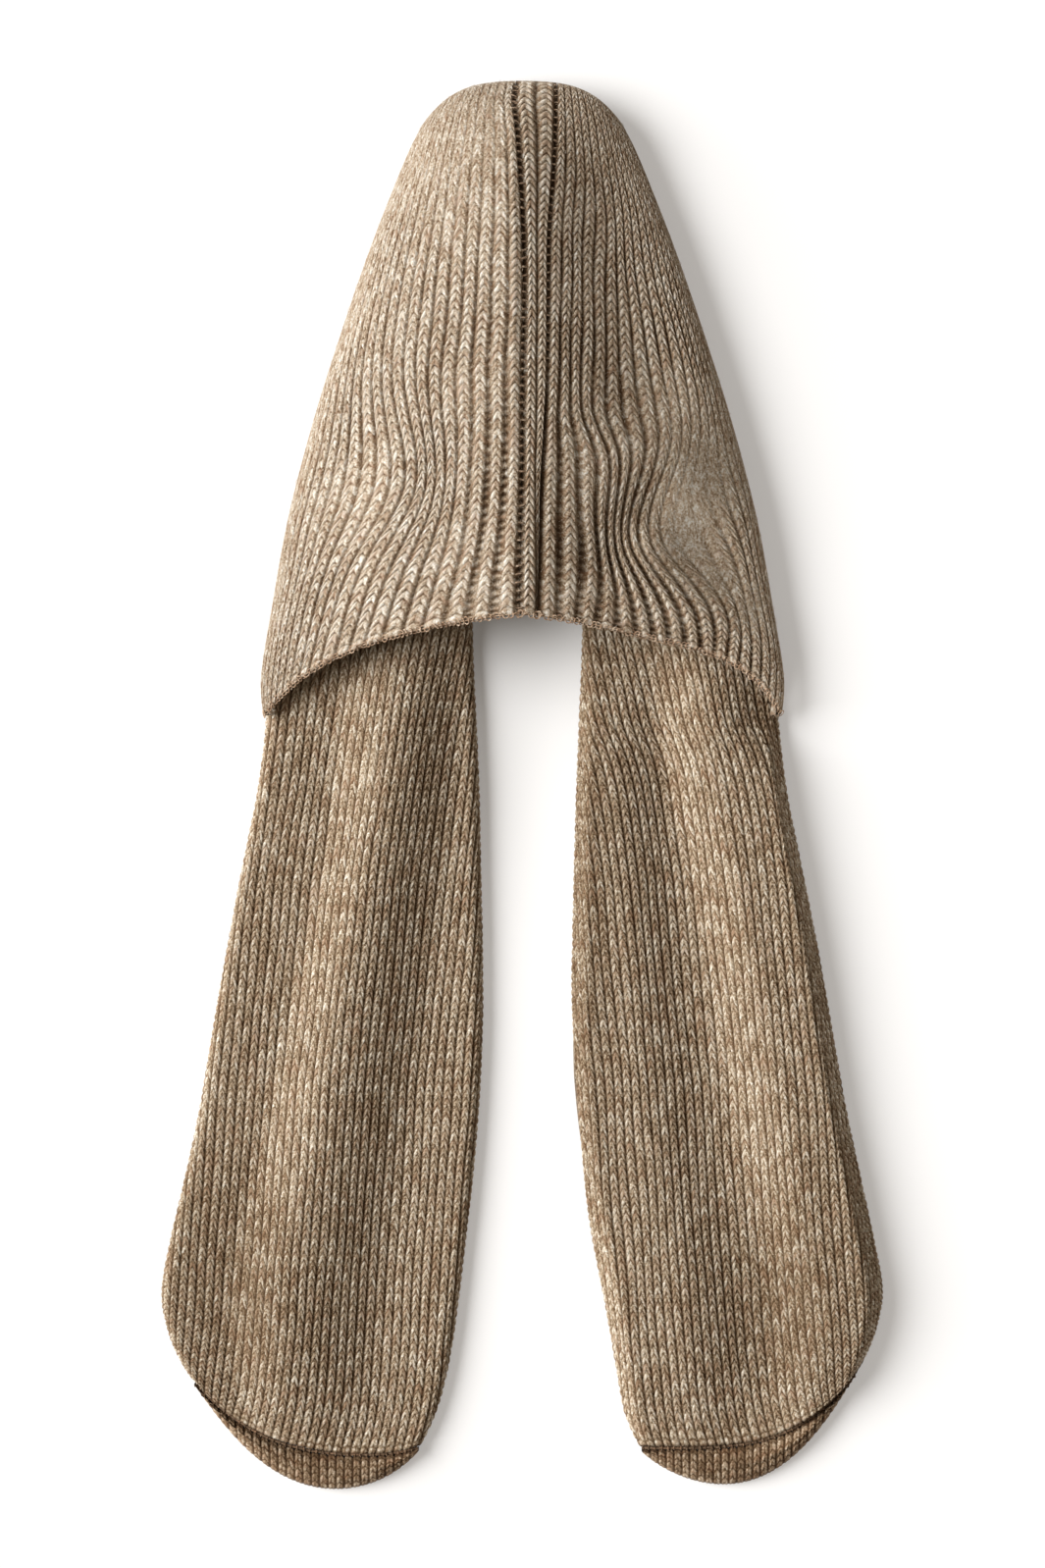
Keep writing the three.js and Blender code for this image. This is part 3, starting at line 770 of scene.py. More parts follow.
@dataclass
class HoodHalf:
    """One half of the ribbed hood, a wall from the centre band round to the side fold."""

    side: Side
    ribs: int
    # depth scales the painted shade, more on the right half, which faces away from the key light.
    depth: float = 1.0
    pale: float = 0.6
    stray: float = 0.08
    broken: float = 1.2
    dome: Dome = Dome()
    knit: RibKnit = RibKnit()
    steps: tuple[float, ...] = RibKnit.steps
    wall: float = 4.6
    seam_gap: float = 0.15
    roll: float = 1.6
    roll_rows: float = 0.9
    wander: float = 0.18
    # The next four set the painted shade: its unevenness, the level it falls back to where the relief fades,
    # its level on fuzzy patches, and the least share of the knit's own shade that is kept.
    patchy: float = 0.2
    even_hollow: float = 0.3
    blurred_hollow: float = 0.67
    least_shade: float = 0.2
    calm: float = 0.75
    calm_from: float = 0.7
    calm_over: float = 0.28
    pale_from: float = 0.55
    pale_over: float = 0.35
    edge_sunk: float = 0.6
    edge_back: float = 1.0
    hem_step: float = 0.15
    hem_end: float = 0.985

    def __post_init__(self) -> None:
        """Numbers the wall's points: a column of rows from the hem up, and a line of ribs outwards."""
        self.rows, self.row_at, self.section_at = self.dome.rows_to_sections(self.knit.stitch.course)
        self.c = rows_of(self.rows, self.knit.stitch.rows)[:, None]
        self.rib = np.array([k + s for k in range(self.ribs) for s in self.steps] + [self.ribs])[None, :]

    def lay(self, opening: np.ndarray, wander: np.ndarray) -> tuple[np.ndarray, np.ndarray]:
        """Lays the stitches in their rows from the hem to the crown.

        Args:
            opening: how open the valleys lie.
            wander: how many rows too high each place lies.

        Returns:
            The row number and the section number of each point.
        """
        lean = smooth(self.c / 2) * smooth((self.rows - self.c) / 3)
        b = self.c + self.knit.stitch.shift(self.knit.place(self.rib, opening)[0]) * lean
        b = np.clip(b + wander, 0, self.rows)
        b[0] = 0
        b[-1] = self.rows
        return b, np.interp(b, self.row_at, self.section_at)

    def across(self, t: np.ndarray, share: np.ndarray) -> np.ndarray:
        """Place across the hood at a share of the ribs, 0 at the seam and 1 at the side fold.

        Args:
            t: section number in the hood table.
            share: the share of the ribs.

        Returns:
            The place in millimetres.
        """
        seam = HOOD.at(self.side.column("band"), t) + self.side.value * self.seam_gap
        fold = self.side.value * HOOD.at("half", t)
        return seam + (fold - seam) * (1 - np.clip(1 - share, 0, 1) ** HOOD.at(self.side.column("gather"), t))

    def build(self, material: bpy.types.Material) -> bpy.types.Object:
        """Makes the half as a closed mesh.

        Args:
            material: the ribbing's yarn.

        Returns:
            The finished object.
        """
        sign = self.side.value
        valleys = VALLEYS[self.side]
        opening = valleys.opening(self.rib, self.c, self.rows)
        b, t = self.lay(opening, self.wander * ripple(self.rib / 3, self.c / 5, 11 + sign))
        inside = np.clip(np.minimum(self.rib, self.ribs - self.rib) / 2, 0, 1)
        stray = self.stray * ripple(self.rib / 2.5, self.c / 7, 31 + sign) * inside
        base = self.dome.skin(t, self.across(t, (self.rib + stray) / self.ribs), self.side)
        crossed = np.clip(ripple(np.round(self.rib), self.c / 2.5, 51 + sign), 0, 1)
        ladder = valleys.ladder(self.rib, self.c, self.broken * crossed * (1 - opening))
        height, hollow = self.knit.surface(self.rib, self.c, opening, ladder)
        fade = self.plainness(base)
        uneven = self.knit.stitch.height_share(2 * self.rib, self.c, 5)
        relief = height * fade * uneven - self.turned_in(b)
        outer = base + unit_normals(base) * sign * relief[..., None]
        # Painted shade: the knit's own, scaled by depth and by how much relief is left, with painted light
        # from the patches and an even level on fuzzy patches.
        patchy = 1 + self.patchy * ripple(self.rib / 1.5, self.c / 6, 41 + sign)
        shade = self.least_shade + (1 - self.least_shade) * fade
        hollow = self.depth * (self.even_hollow + (hollow * patchy - self.even_hollow) * shade)
        blurred = np.zeros(hollow.shape)
        for place in HOOD_WEAR_AND_PAINTED_LIGHT[self.side]:
            here = place.at(base[..., 0], base[..., 1])
            blurred = np.maximum(blurred, place.fuzz * here)
            hollow = hollow + place.dim * here
        hollow = hollow + (self.blurred_hollow - hollow) * blurred
        added = len(self.dome.tuck)
        hollow = np.pad(hollow, ((0, added), (0, added)), mode="edge")
        blurred = np.pad(blurred, ((0, added), (0, added)))
        outer = self.tucked(self.tucked(outer, 1), 0)
        knit = self.knit_map(0, added)
        cloth = self.close(f"hood_{self.side.word}", outer, self.lining(base), knit, hollow, blurred)
        return cloth.build(material)

    def hem_line(self, points: int = 200) -> Three:
        """The hem's edge from the seam to the fold.

        Args:
            points: how many points the line has.

        Returns:
            The line, the way out of the skin, and the way down.
        """
        t = self.hem_sections(points)
        x = self.across(t, np.linspace(0, self.hem_end, points))
        return self.edge_of(self.dome.skin(t, x, self.side))

    def hem_sections(self, points: int) -> np.ndarray:
        """Section numbers of two lines across the hood, the first on the hem and the other just above it."""
        return np.repeat([[0.0], [self.hem_step]], points, axis=1)

    def edge_of(self, skin: np.ndarray) -> Three:
        """Turns two lines of skin points, the first on the hem, into an edge line with its directions.

        Args:
            skin: 2 x points x 3.

        Returns:
            The line, the way out of the skin, and the way down.
        """
        normal = unit_normals(skin)[0] * self.side.value
        down = skin[0] - skin[1]
        down = down / np.linalg.norm(down, axis=-1, keepdims=True)
        line = skin[0] - self.edge_sunk * normal - self.edge_back * down
        return line, normal + 0.5 * down, down

    def turned_in(self, b: np.ndarray) -> np.ndarray:
        """How deep the hem's edge is rolled in at each row number."""
        edge = np.clip(1 - b / self.roll_rows, 0, 1)
        return self.roll * (1 - np.sqrt(1 - edge**2))

    def plainness(self, base: np.ndarray) -> np.ndarray:
        """How much of the ribbing's relief is left: little at the fold, the crown and the worn places.

        Args:
            base: places of the wall's points on the mean skin.

        Returns:
            The share, 0 to 1.
        """
        outside = smooth((self.rib / self.ribs - self.calm_from) / self.calm_over)
        crown = smooth((self.c / self.rows - self.pale_from) / self.pale_over) * smooth(self.rib / 2)
        ends = np.clip((self.ribs - self.rib) / 1.5, 0, 1) * np.clip((self.rows - self.c) / 2, 0, 1)
        left = (1 - self.calm * outside) * (1 - self.pale * crown) * ends
        for place in HOOD_WEAR_AND_PAINTED_LIGHT[self.side]:
            left = left * (1 - place.flat * place.at(base[..., 0], base[..., 1]))
        return left

    def tucked(self, points: np.ndarray, axis: int) -> np.ndarray:
        """Turns an edge of the wall in, down on to the scarf.

        Args:
            points: rows x columns x 3.
            axis: 0 adds rows at the crown, 1 adds columns at the side fold.

        Returns:
            The points with the added ones.
        """
        edge = np.index_exp[-1:] if axis == 0 else np.index_exp[:, -1:]
        way = np.array((0, 1, 0) if axis == 0 else (self.side.value, 0, 0))
        for step, z in self.dome.tuck:
            turned = points[edge] - step * way
            turned[..., 2] = np.minimum(turned[..., 2], z)
            points = np.concatenate([points, turned], axis=axis)
        return points

    def knit_map(self, first: int, columns: int) -> np.ndarray:
        """Wale and row numbers of all points, from a first wale, with those of the turned-in edges.

        Args:
            first: number of the first wale.
            columns: how many columns are turned in.

        Returns:
            Rows x columns x 2.
        """
        beyond = 0.3 * np.arange(1, len(self.dome.tuck) + 1)
        wale = np.append(2 * self.rib[0] + first, 2 * self.ribs + first + beyond[:columns])
        row = np.append(self.c[:, 0], self.rows + beyond)
        return np.stack(np.meshgrid(wale, row), axis=-1)

    def thin(self, grid: np.ndarray) -> np.ndarray:
        """Every few rows and columns of a grid, with its last ones.

        Args:
            grid: any grid of the wall's points or values.

        Returns:
            The smaller grid.
        """
        step_row = self.knit.stitch.rows
        step_column = len(self.knit.steps) // 2
        rows = np.unique(np.append(np.arange(0, grid.shape[0], step_row), grid.shape[0] - 1))
        columns = np.unique(np.append(np.arange(0, grid.shape[1], step_column), grid.shape[1] - 1))
        return grid[rows][:, columns]

    def lining(self, base: np.ndarray) -> np.ndarray:
        """The wall's inner face, kept above the scarf and inside the outer face.

        Args:
            base: places of the wall's points on the mean skin.

        Returns:
            The inner face's points.
        """
        keep = self.thin(self.tucked(self.tucked(base, 1), 0))
        inner = keep - self.wall * (unit_normals(keep) * self.side.value)
        inner[..., 0] = np.where(np.abs(inner[..., 0]) > np.abs(keep[..., 0]), keep[..., 0], inner[..., 0])
        inner[-8:, :, 1] = np.minimum(inner[-8:, :, 1], keep[-8:, :, 1])
        inner[..., 2] = np.maximum(inner[..., 2], self.dome.scarf_top)
        return inner

    def close(
        self,
        name: str,
        outer: np.ndarray,
        inner: np.ndarray,
        knit: np.ndarray,
        hollow: np.ndarray,
        blurred: np.ndarray | float,
    ) -> Cloth:
        """Joins the wall's two faces round their edges.

        Args:
            name: of the piece.
            outer: points of the outer face.
            inner: points of the inner face, a thinned grid.
            knit: wale and row numbers of the outer points.
            hollow: their painted shade values.
            blurred: their blurred values.

        Returns:
            The closed cloth.
        """
        flip = self.side is Side.LEFT
        cloth = Cloth(name)
        top = cloth.add(outer, knit, hollow, blurred)
        # The inner face gets an even painted shade.
        under = cloth.add(inner, self.thin(knit), 0.3)
        cloth.skin(top, flip)
        cloth.skin(under, not flip)
        cloth.lace(top[:, 0], under[:, 0], not flip)
        cloth.lace(top[:, -1], under[:, -1], flip)
        cloth.lace(top[0], under[0], flip)
        cloth.lace(top[-1], under[-1], not flip)
        return cloth


@dataclass
class SeamBand(HoodHalf):
    """The narrow band between the two halves: two knit wales with the closing seam between them."""

    side: Side = Side.RIGHT
    ribs: int = 2
    wall: float = 5.4
    steps: tuple[float, ...] = (0.0, 0.1, 0.2, 0.3, 0.4, 0.5, 0.6, 0.7, 0.8, 0.9)
    first_wale: int = 100
    even_share: float = 0.5
    hem_share: float = 0.9
    even_from: float = 3.6
    left_reach: float = 0.45
    right_reach: float = 0.4
    right_open: float = 0.8
    # right_dark and sliver_dark are painted shade, in the valley on the right and on the folded seam's sunk
    # sliver.
    right_dark: float = 0.9
    sliver_sunk: float = 1.5
    sliver_dark: float = 0.9
    sliver_steep: float = 8
    rung_sunk: float = 1.1
    hem_inset: float = 0.08

    def valley_line(self, column: str, first: float, last: float) -> Three:
        """The floor of a valley beside the band, and at each point the way along it and the skin's normal.

        Args:
            column: the hood table's column of the valley.
            first: section where it starts.
            last: section where it ends.

        Returns:
            The line, the way along, and the normal.
        """
        t = np.linspace(first, last, 160)[None, :] + np.zeros((2, 1))
        x = HOOD.at(column, t) + np.array([[0.0], [1.0]])
        skin = self.dome.skin(t, x, self.side)
        normal = unit_normals(skin)[0]
        normal = normal * np.where(normal[:, 2:] < 0, -1, 1)
        line = skin[0] - self.rung_sunk * normal
        return line, np.gradient(line, axis=0), normal

    def hem_line(self, points: int = 12) -> Three:
        """The hem's edge from seam to seam, and at each point the skin's normal and the way down.

        Args:
            points: how many points the line has.

        Returns:
            The line, the normal, and the way down.
        """
        t = self.hem_sections(points)
        start = HOOD.at("bandLeft", t)
        share = np.linspace(self.hem_inset, 1 - self.hem_inset, points)
        return self.edge_of(self.dome.skin(t, start + (HOOD.at("bandRight", t) - start) * share, self.side))

    def build(self, material: bpy.types.Material) -> bpy.types.Object:
        """Makes the band as a closed mesh.

        Args:
            material: the ribbing's yarn.

        Returns:
            The finished object.
        """
        left_valley = np.exp(-((self.rib / self.left_reach) ** 2)) + 0 * self.c
        right_valley = np.exp(-(((self.ribs - self.rib) / self.right_reach) ** 2)) + 0 * self.c
        opening = left_valley + self.right_open * right_valley
        ladder = 1 - left_valley * VALLEYS[Side.LEFT].dark(self.c)
        ladder = ladder - self.right_dark * right_valley * VALLEYS[Side.RIGHT].dark(self.c)
        b, t = self.lay(opening, 0.0)
        start = HOOD.at("bandLeft", t) + self.seam_gap
        end = HOOD.at("bandRight", t) - self.seam_gap
        low = smooth((self.even_from - t) / self.even_from)
        first = self.even_share + (self.hem_share - self.even_share) * low
        across = np.where(self.rib < 1, first * self.rib, first + (1 - first) * (self.rib - 1))
        base = self.dome.skin(t, start + (end - start) * across, self.side)
        height, hollow = self.knit.surface(self.rib, self.c, opening, ladder)
        narrow = smooth((first - self.even_share) / (self.hem_share - self.even_share))
        sliver = narrow * smooth(self.sliver_steep * (self.rib - 1))
        height = height - self.sliver_sunk * sliver
        relief = height * np.clip((self.rows - self.c) / 2, 0, 1) - self.turned_in(b)
        outer = self.tucked(base + unit_normals(base) * relief[..., None], 0)
        # The folded seam's sunk sliver gets painted shade.
        hollow = np.maximum(hollow, self.sliver_dark * sliver)
        hollow = np.pad(hollow, ((0, len(self.dome.tuck)), (0, 0)), mode="edge")
        knit = self.knit_map(self.first_wale, 0)
        return self.close("seam_band", outer, self.lining(base), knit, hollow, 0.0).build(material)

    def lining(self, base: np.ndarray) -> np.ndarray:
        """The band's inner face, kept above the scarf.

        Args:
            base: places of the band's points on the mean skin.

        Returns:
            The inner face's points.
        """
        keep = self.thin(self.tucked(base, 0))
        inner = keep - self.wall * unit_normals(keep)
        inner[..., 2] = np.maximum(inner[..., 2], self.dome.scarf_top)
        return inner


@dataclass
class ScarfLength:
    """One scarf length: a soft doubled strip that frames the face under the hood and hangs as a tail."""

    side: Side
    ridges: tuple[Ridge, ...]
    inner_sag: float
    outer_sag: float
    stitch: Stitch = Stitch()
    thick: float = 14.0
    edge: float = 9.0
    bow_skew: float = 1.3
    wales: int = 37
    sparse_per_row: float = 0.9
    under_columns: int = 20
    under_wales: float = 12
    # The next two set the painted shade, on the underside and all over the top.
    under_hollow: float = 0.2
    even_hollow: float = 0.92
    detail_y: float = 122.0
    end_roll: float = 3.2
    # Rows at the toe seam that get full painted shade.
    seam_rows: float = 0.6
    wander: float = 0.2
    stray: float = 0.1
    # Unevenness of the painted shade.
    patchy: float = 0.1
    least_z: float = 0.3
    stations: int = 240
    ring_points: int = 560

    def plan(self, t: np.ndarray, v: np.ndarray) -> tuple[np.ndarray, np.ndarray]:
        """Place seen from above, at section number t and share v from the inner edge to the outer.

        Args:
            t: section numbers.
            v: shares of the width.

        Returns:
            Places across and along.
        """
        table = SCARF[self.side]
        inner_x = table.at("innerX", t)
        inner_y = table.at("innerY", t)
        x = inner_x + (table.at("outerX", t) - inner_x) * v
        y = inner_y + (table.at("outerY", t) - inner_y) * v
        bow = table.at("bow", t)
        ends = self.inner_sag * v * (1 - v) ** 4 + self.outer_sag * v**4 * (1 - v)
        return x, y - bow * np.sin(math.pi * v**self.bow_skew) - np.maximum(bow, 0) * ends

    def face(self, t: np.ndarray, v: np.ndarray, upper: bool) -> np.ndarray:
        """Points of the upper or lower face.

        Args:
            t: section numbers.
            v: shares of the width.
            upper: which face.

        Returns:
            Points in millimetres.
        """
        x, y = self.plan(t, v)
        table = SCARF[self.side]
        width = np.abs(table.at("outerX", t) - table.at("innerX", t))
        edge = self.edge / width
        rim = np.minimum(np.minimum(v, 1 - v), edge) / edge
        swell = np.sqrt(np.clip(1 - (1 - rim) ** 2, 0, 1)) * (1 if upper else -1)
        lift = sum(ridge.height(y, v) for ridge in self.ridges)
        return np.stack([x, y, 0.5 * self.thick * (1 + swell) + lift], axis=-1)

    def ring_map(self) -> Three:
        """Rings round the scarf at many stations, evenly spaced along each ring.

        Returns:
            Points, and the girth and the section number of each station.
        """
        last = SCARF[self.side].last
        t = np.linspace(0, last, self.stations)[:, None]
        ease = 0.5 - 0.5 * np.cos(np.linspace(0, math.pi, 301))[None, :]
        over = self.face(t, 1 - ease, True)
        back = self.face(t, ease, False)
        loop = np.concatenate([over, back[:, 1:]], axis=1)
        step = np.linalg.norm(np.diff(loop, axis=1), axis=-1)
        run = np.concatenate([np.zeros((len(t), 1)), np.cumsum(step, axis=1)], axis=1)
        even = np.linspace(0, 1, self.ring_points + 1)
        rings = np.stack([
            np.stack([np.interp(even * r[-1], r, ring[:, axis]) for axis in range(3)], axis=-1)
            for r, ring in zip(run, loop)
        ])
        return rings, run[:, -1], t[:, 0]

    def ring_normals(self, rings: np.ndarray) -> np.ndarray:
        """The way out of the scarf at each point of its rings.

        Args:
            rings: the points of the rings.

        Returns:
            Unit vectors of the same shape.
        """
        padded = np.concatenate([rings[:, -4:-1], rings, rings[:, 1:4]], axis=1)
        normals = unit_normals(padded)[:, 3:-3]
        return normals * np.sign(normals[self.stations // 2, self.ring_points // 4, 2])

    def sample(self, maps: tuple[np.ndarray, ...], t: np.ndarray, share: np.ndarray) -> list[np.ndarray]:
        """Reads grids over station and ring at any place, between their points.

        Args:
            maps: the grids.
            t: section numbers.
            share: shares of the way round.

        Returns:
            The value of each grid there.
        """
        row = np.clip(t / SCARF[self.side].last * (self.stations - 1), 0, self.stations - 1.001)
        i = row.astype(int)
        f = (row - i)[..., None]
        column = (share - np.floor(share)) * self.ring_points
        j = np.clip(column.astype(int), 0, self.ring_points - 1)
        g = (column - j)[..., None]
        found = []
        for grid in maps:
            low = grid[i, j] * (1 - g) + grid[i, j + 1] * g
            high = grid[i + 1, j] * (1 - g) + grid[i + 1, j + 1] * g
            found.append(low * (1 - f) + high * f)
        return found

    def build(self, material: bpy.types.Material) -> bpy.types.Object:
        """Makes the scarf length as a closed mesh.

        Args:
            material: the plain knit's yarn.

        Returns:
            The finished object.
        """
        sign = self.side.value
        rings, girth, t_at = self.ring_map()
        normals = self.ring_normals(rings)
        middle = self.face(t_at, np.full_like(t_at, 0.5), True)
        run = np.concatenate([[0], np.cumsum(np.linalg.norm(np.diff(middle, axis=0), axis=1))])
        run = run[-1] - run
        rows = run[0] / self.stitch.course
        dense = int(np.interp(-self.detail_y, -middle[:, 1], run) / self.stitch.course)
        sparse = np.linspace(dense, rows, int((rows - dense) * self.sparse_per_row))
        c = np.concatenate([rows_of(dense, self.stitch.rows)[:-1], sparse])[:, None]
        places = [k + a + 0.5 for k in range(self.wales) for a in self.stitch.across]
        wale = np.array([*places, self.wales])[None, :]
        a = wale - np.floor(wale) - 0.5
        lean = smooth(c / 2.5) * smooth((dense - c) / 3)
        b = c + self.stitch.shift(a) * lean + self.wander * ripple(wale / 5, c / 7, 3 + sign)
        b = np.clip(b, 0, rows)
        b[0] = 0
        b[-1] = rows
        t = np.interp(-b * self.stitch.course, -run, t_at)
        out = np.interp(np.interp(t, t_at, middle[:, 1]), DRIFT_Y, DRIFT_OUT)
        stray = self.stray * ripple(wale / 4, c / 10, 17 + sign)
        start = np.abs(SCARF[self.side].at("outerX", t)) - out + 0.2 * self.thick
        share = (start + self.stitch.wale * (wale + stray)) / np.interp(t, t_at, girth)
        points, normal = self.sample((rings, normals), t, share)
        normal = normal / np.maximum(np.linalg.norm(normal, axis=-1, keepdims=True), 1e-9)
        points = points + normal * (self.relief(a, c, wale, dense) - self.rolled(b, normal))[..., None]
        points[..., 2] = np.maximum(points[..., 2], self.least_z)
        hollow = self.stitch.hollow(a, np.where(c < dense, c, 0.5))
        patchy = self.even_hollow + self.patchy * ripple(wale / 1.5, c / 8, 43 + sign)
        hollow = np.clip(hollow * patchy, 0, 1)
        # Painted shade from the tails' patches, and full painted shade in the first rows at the toe seam.
        for place in TAIL_PAINTED_SHADE[self.side]:
            hollow = hollow + place.dim * place.at(points[..., 0], points[..., 1])
        hollow = np.clip(np.maximum(hollow, 1 - b / self.seam_rows), 0, 1)
        spare = np.linspace(0, 1, self.under_columns + 2)[None, 1:-1]
        row_t = np.interp(-np.clip(c, 0, rows) * self.stitch.course, -run, t_at) + 0 * spare
        low_share = share[:, -1:] + (share[:, :1] + 1 - share[:, -1:]) * spare
        below, _ = self.sample((rings, normals), row_t, low_share)
        below[..., 2] = np.maximum(below[..., 2], 0.0)
        cloth = Cloth(f"scarf_{self.side.word}")
        top = cloth.add(points, np.stack([wale + 0 * c, c + 0 * wale], axis=-1), hollow)
        low_wale = self.wales + self.under_wales * spare
        low_knit = np.stack([low_wale + 0 * c, c + 0 * spare], axis=-1)
        beneath = cloth.add(below, low_knit, self.under_hollow)
        flip = sign < 0
        cloth.skin(np.concatenate([top, beneath], axis=1), flip, closed=True)
        for end, turn in ((0, not flip), (-1, flip)):
            cloth.lace(top[end], beneath[end][::-1], turn)
        return cloth.build(material)

    def relief(self, a: np.ndarray, c: np.ndarray, wale: np.ndarray, dense: int) -> np.ndarray:
        """Height of the stitches over the skin: whole up to the last dense row, and plain wales past it.

        Args:
            a: place across the wale.
            c: row number.
            wale: wale number.
            dense: the last row with whole stitches.

        Returns:
            The heights in millimetres.
        """
        shown = smooth((dense - c) / 2)
        plain = self.stitch.groove * (self.stitch.crest(a) + 0 * c - 1)
        uneven = self.stitch.height_share(wale, c + 0.3 * wale, 9)
        full = np.where(c < dense, self.stitch.relief(a, c) * uneven, plain)
        return full * shown + plain * (1 - shown)

    def rolled(self, b: np.ndarray, normal: np.ndarray) -> np.ndarray:
        """How deep the upper face dips into the toe seam at each row number."""
        lowered = np.clip(1 - b / 1.1, 0, 1)
        return self.end_roll * (1 - np.sqrt(1 - lowered**2)) * (normal[..., 2] > 0)


@dataclass
class Toe:
    """The turned-up rounded end of a tail, below the toe seam.

    The profile goes over the toe from its foot at the seam to its foot at the outer edge: the place along it,
    the share of the toe's reach, and the share of its height.
    """

    scarf: ScarfLength
    depth: float
    crest: float = 16.0
    seam_z: float = 12.0
    gap: float = 0.08
    inset: float = 0.012
    # seam_dark is how far from the toe seam the painted shade reaches, in millimetres.
    seam_dark: float = 3.5
    seam_sunk: float = 3.6
    first_wale: int = 60
    wales: int = 27
    rows: int = 7
    row_steps: int = 5
    climb: float = 0.1
    round_power: float = 0.85
    full_depth: float = 18.0
    side_fade: float = 0.06
    calm: float = 0.75
    calm_from: float = 0.7
    calm_over: float = 0.3
    foot_share: float = 0.1
    # The painted shade of the toe's underside.
    foot_hollow: float = 0.5
    least_z: float = 0.3
    profile: tuple[tuple[float, float, float], ...] = (
        (0.0, 0.0, 0.03), (0.12, 0.0, 0.55), (0.2, 0.02, 0.72), (0.32, 0.2, 0.88), (0.46, 0.45, 1.0),
        (0.64, 0.75, 0.86), (0.78, 0.93, 0.62), (0.88, 1.0, 0.36), (0.95, 0.97, 0.12), (1.0, 0.88, 0.02),
    )

    def seam_line(self, points: int = 120) -> Three:
        """The toe seam from edge to edge, and at each point the way along it and straight up.

        Args:
            points: how many points the line has.

        Returns:
            The line, the way along, and the way up.
        """
        v = np.linspace(0.02, 0.98, points)
        last = np.full_like(v, float(SCARF[self.scarf.side].last))
        x, y = self.scarf.plan(last, v)
        top = self.scarf.face(last, v, True)[:, 2]
        line = np.stack([x, y, np.minimum(top - self.seam_sunk, self.seam_z)], axis=-1)
        along = np.gradient(line, axis=0)
        return line, along, np.broadcast_to((0.0, 0.0, 1.0), line.shape)

    def build(self, material: bpy.types.Material) -> bpy.types.Object:
        """Makes the toe as a closed mesh.

        Args:
            material: the toe's yarn.

        Returns:
            The finished object.
        """
        stitch = self.scarf.stitch
        last = float(SCARF[self.scarf.side].last)
        wale = np.array([k + a + 0.5 for k in range(self.wales) for a in stitch.across] + [self.wales])
        a = wale - np.floor(wale) - 0.5
        v = self.inset + (1 - 2 * self.inset) * wale / self.wales
        x, y = self.scarf.plan(np.full_like(v, last), v)
        depth = self.depth * np.sin(math.pi * v**self.round_power) ** self.round_power
        crest = self.seam_z + (self.crest - self.seam_z) * np.minimum(1, depth / self.full_depth)
        c = rows_of(self.rows, self.row_steps)[:, None]
        climb = self.climb * stitch.shift(a)[None, :] / stitch.lean * np.sin(math.pi * c / self.rows)
        place = np.clip(1 - c / self.rows - climb, 0, 1)
        knots, shares, heights = zip(*self.profile)
        reach = np.interp(place, knots, shares)
        height = np.interp(place, knots, heights)
        across = np.broadcast_to(x, reach.shape)
        points = np.stack([across, y - self.gap - depth * reach, height * crest], axis=-1)
        normal = unit_normals(points)
        if normal[len(c) // 2, len(v) // 2, 2] < 0:
            normal = -normal
        fade = np.clip(np.minimum(v, 1 - v) / self.side_fade, 0, 1)[None, :]
        fade = fade * (1 - self.calm * smooth((reach - self.calm_from) / self.calm_over))
        relief = stitch.relief(a[None, :], c) * fade
        points = points + normal * relief[..., None]
        points[..., 2] = np.maximum(points[..., 2], self.least_z)
        foot = y - self.gap - self.foot_share * depth
        back = np.stack([x, foot, np.zeros_like(x)], axis=-1)[None, ::4]
        # Painted shade in the stitches and in the toe seam's groove.
        seam = np.clip(1 - reach * depth / self.seam_dark, 0, 1)
        hollow = np.maximum(stitch.hollow(a[None, :], c), seam)
        cloth = Cloth(f"toe_{self.scarf.side.word}")
        knit = np.stack([wale[None, :] + self.first_wale + 0 * c, c + 0 * wale[None, :]], axis=-1)
        top = cloth.add(points, knit, hollow)
        under = cloth.add(back, np.zeros((1, back.shape[1], 2)), self.foot_hollow)
        flip = self.scarf.side.value > 0
        cloth.skin(top, not flip)
        cloth.lace(top[0], under[0], not flip)
        cloth.lace(top[-1], under[0], flip)
        for column, turn in ((0, flip), (-1, not flip)):
            edge = top[:, column]
            point = under[0, column]
            for i in range(len(edge) - 1):
                corner = (int(edge[i]), int(edge[i + 1]), int(point))
                cloth.corners.append(corner[::-1] if turn else corner)
        return cloth.build(material)


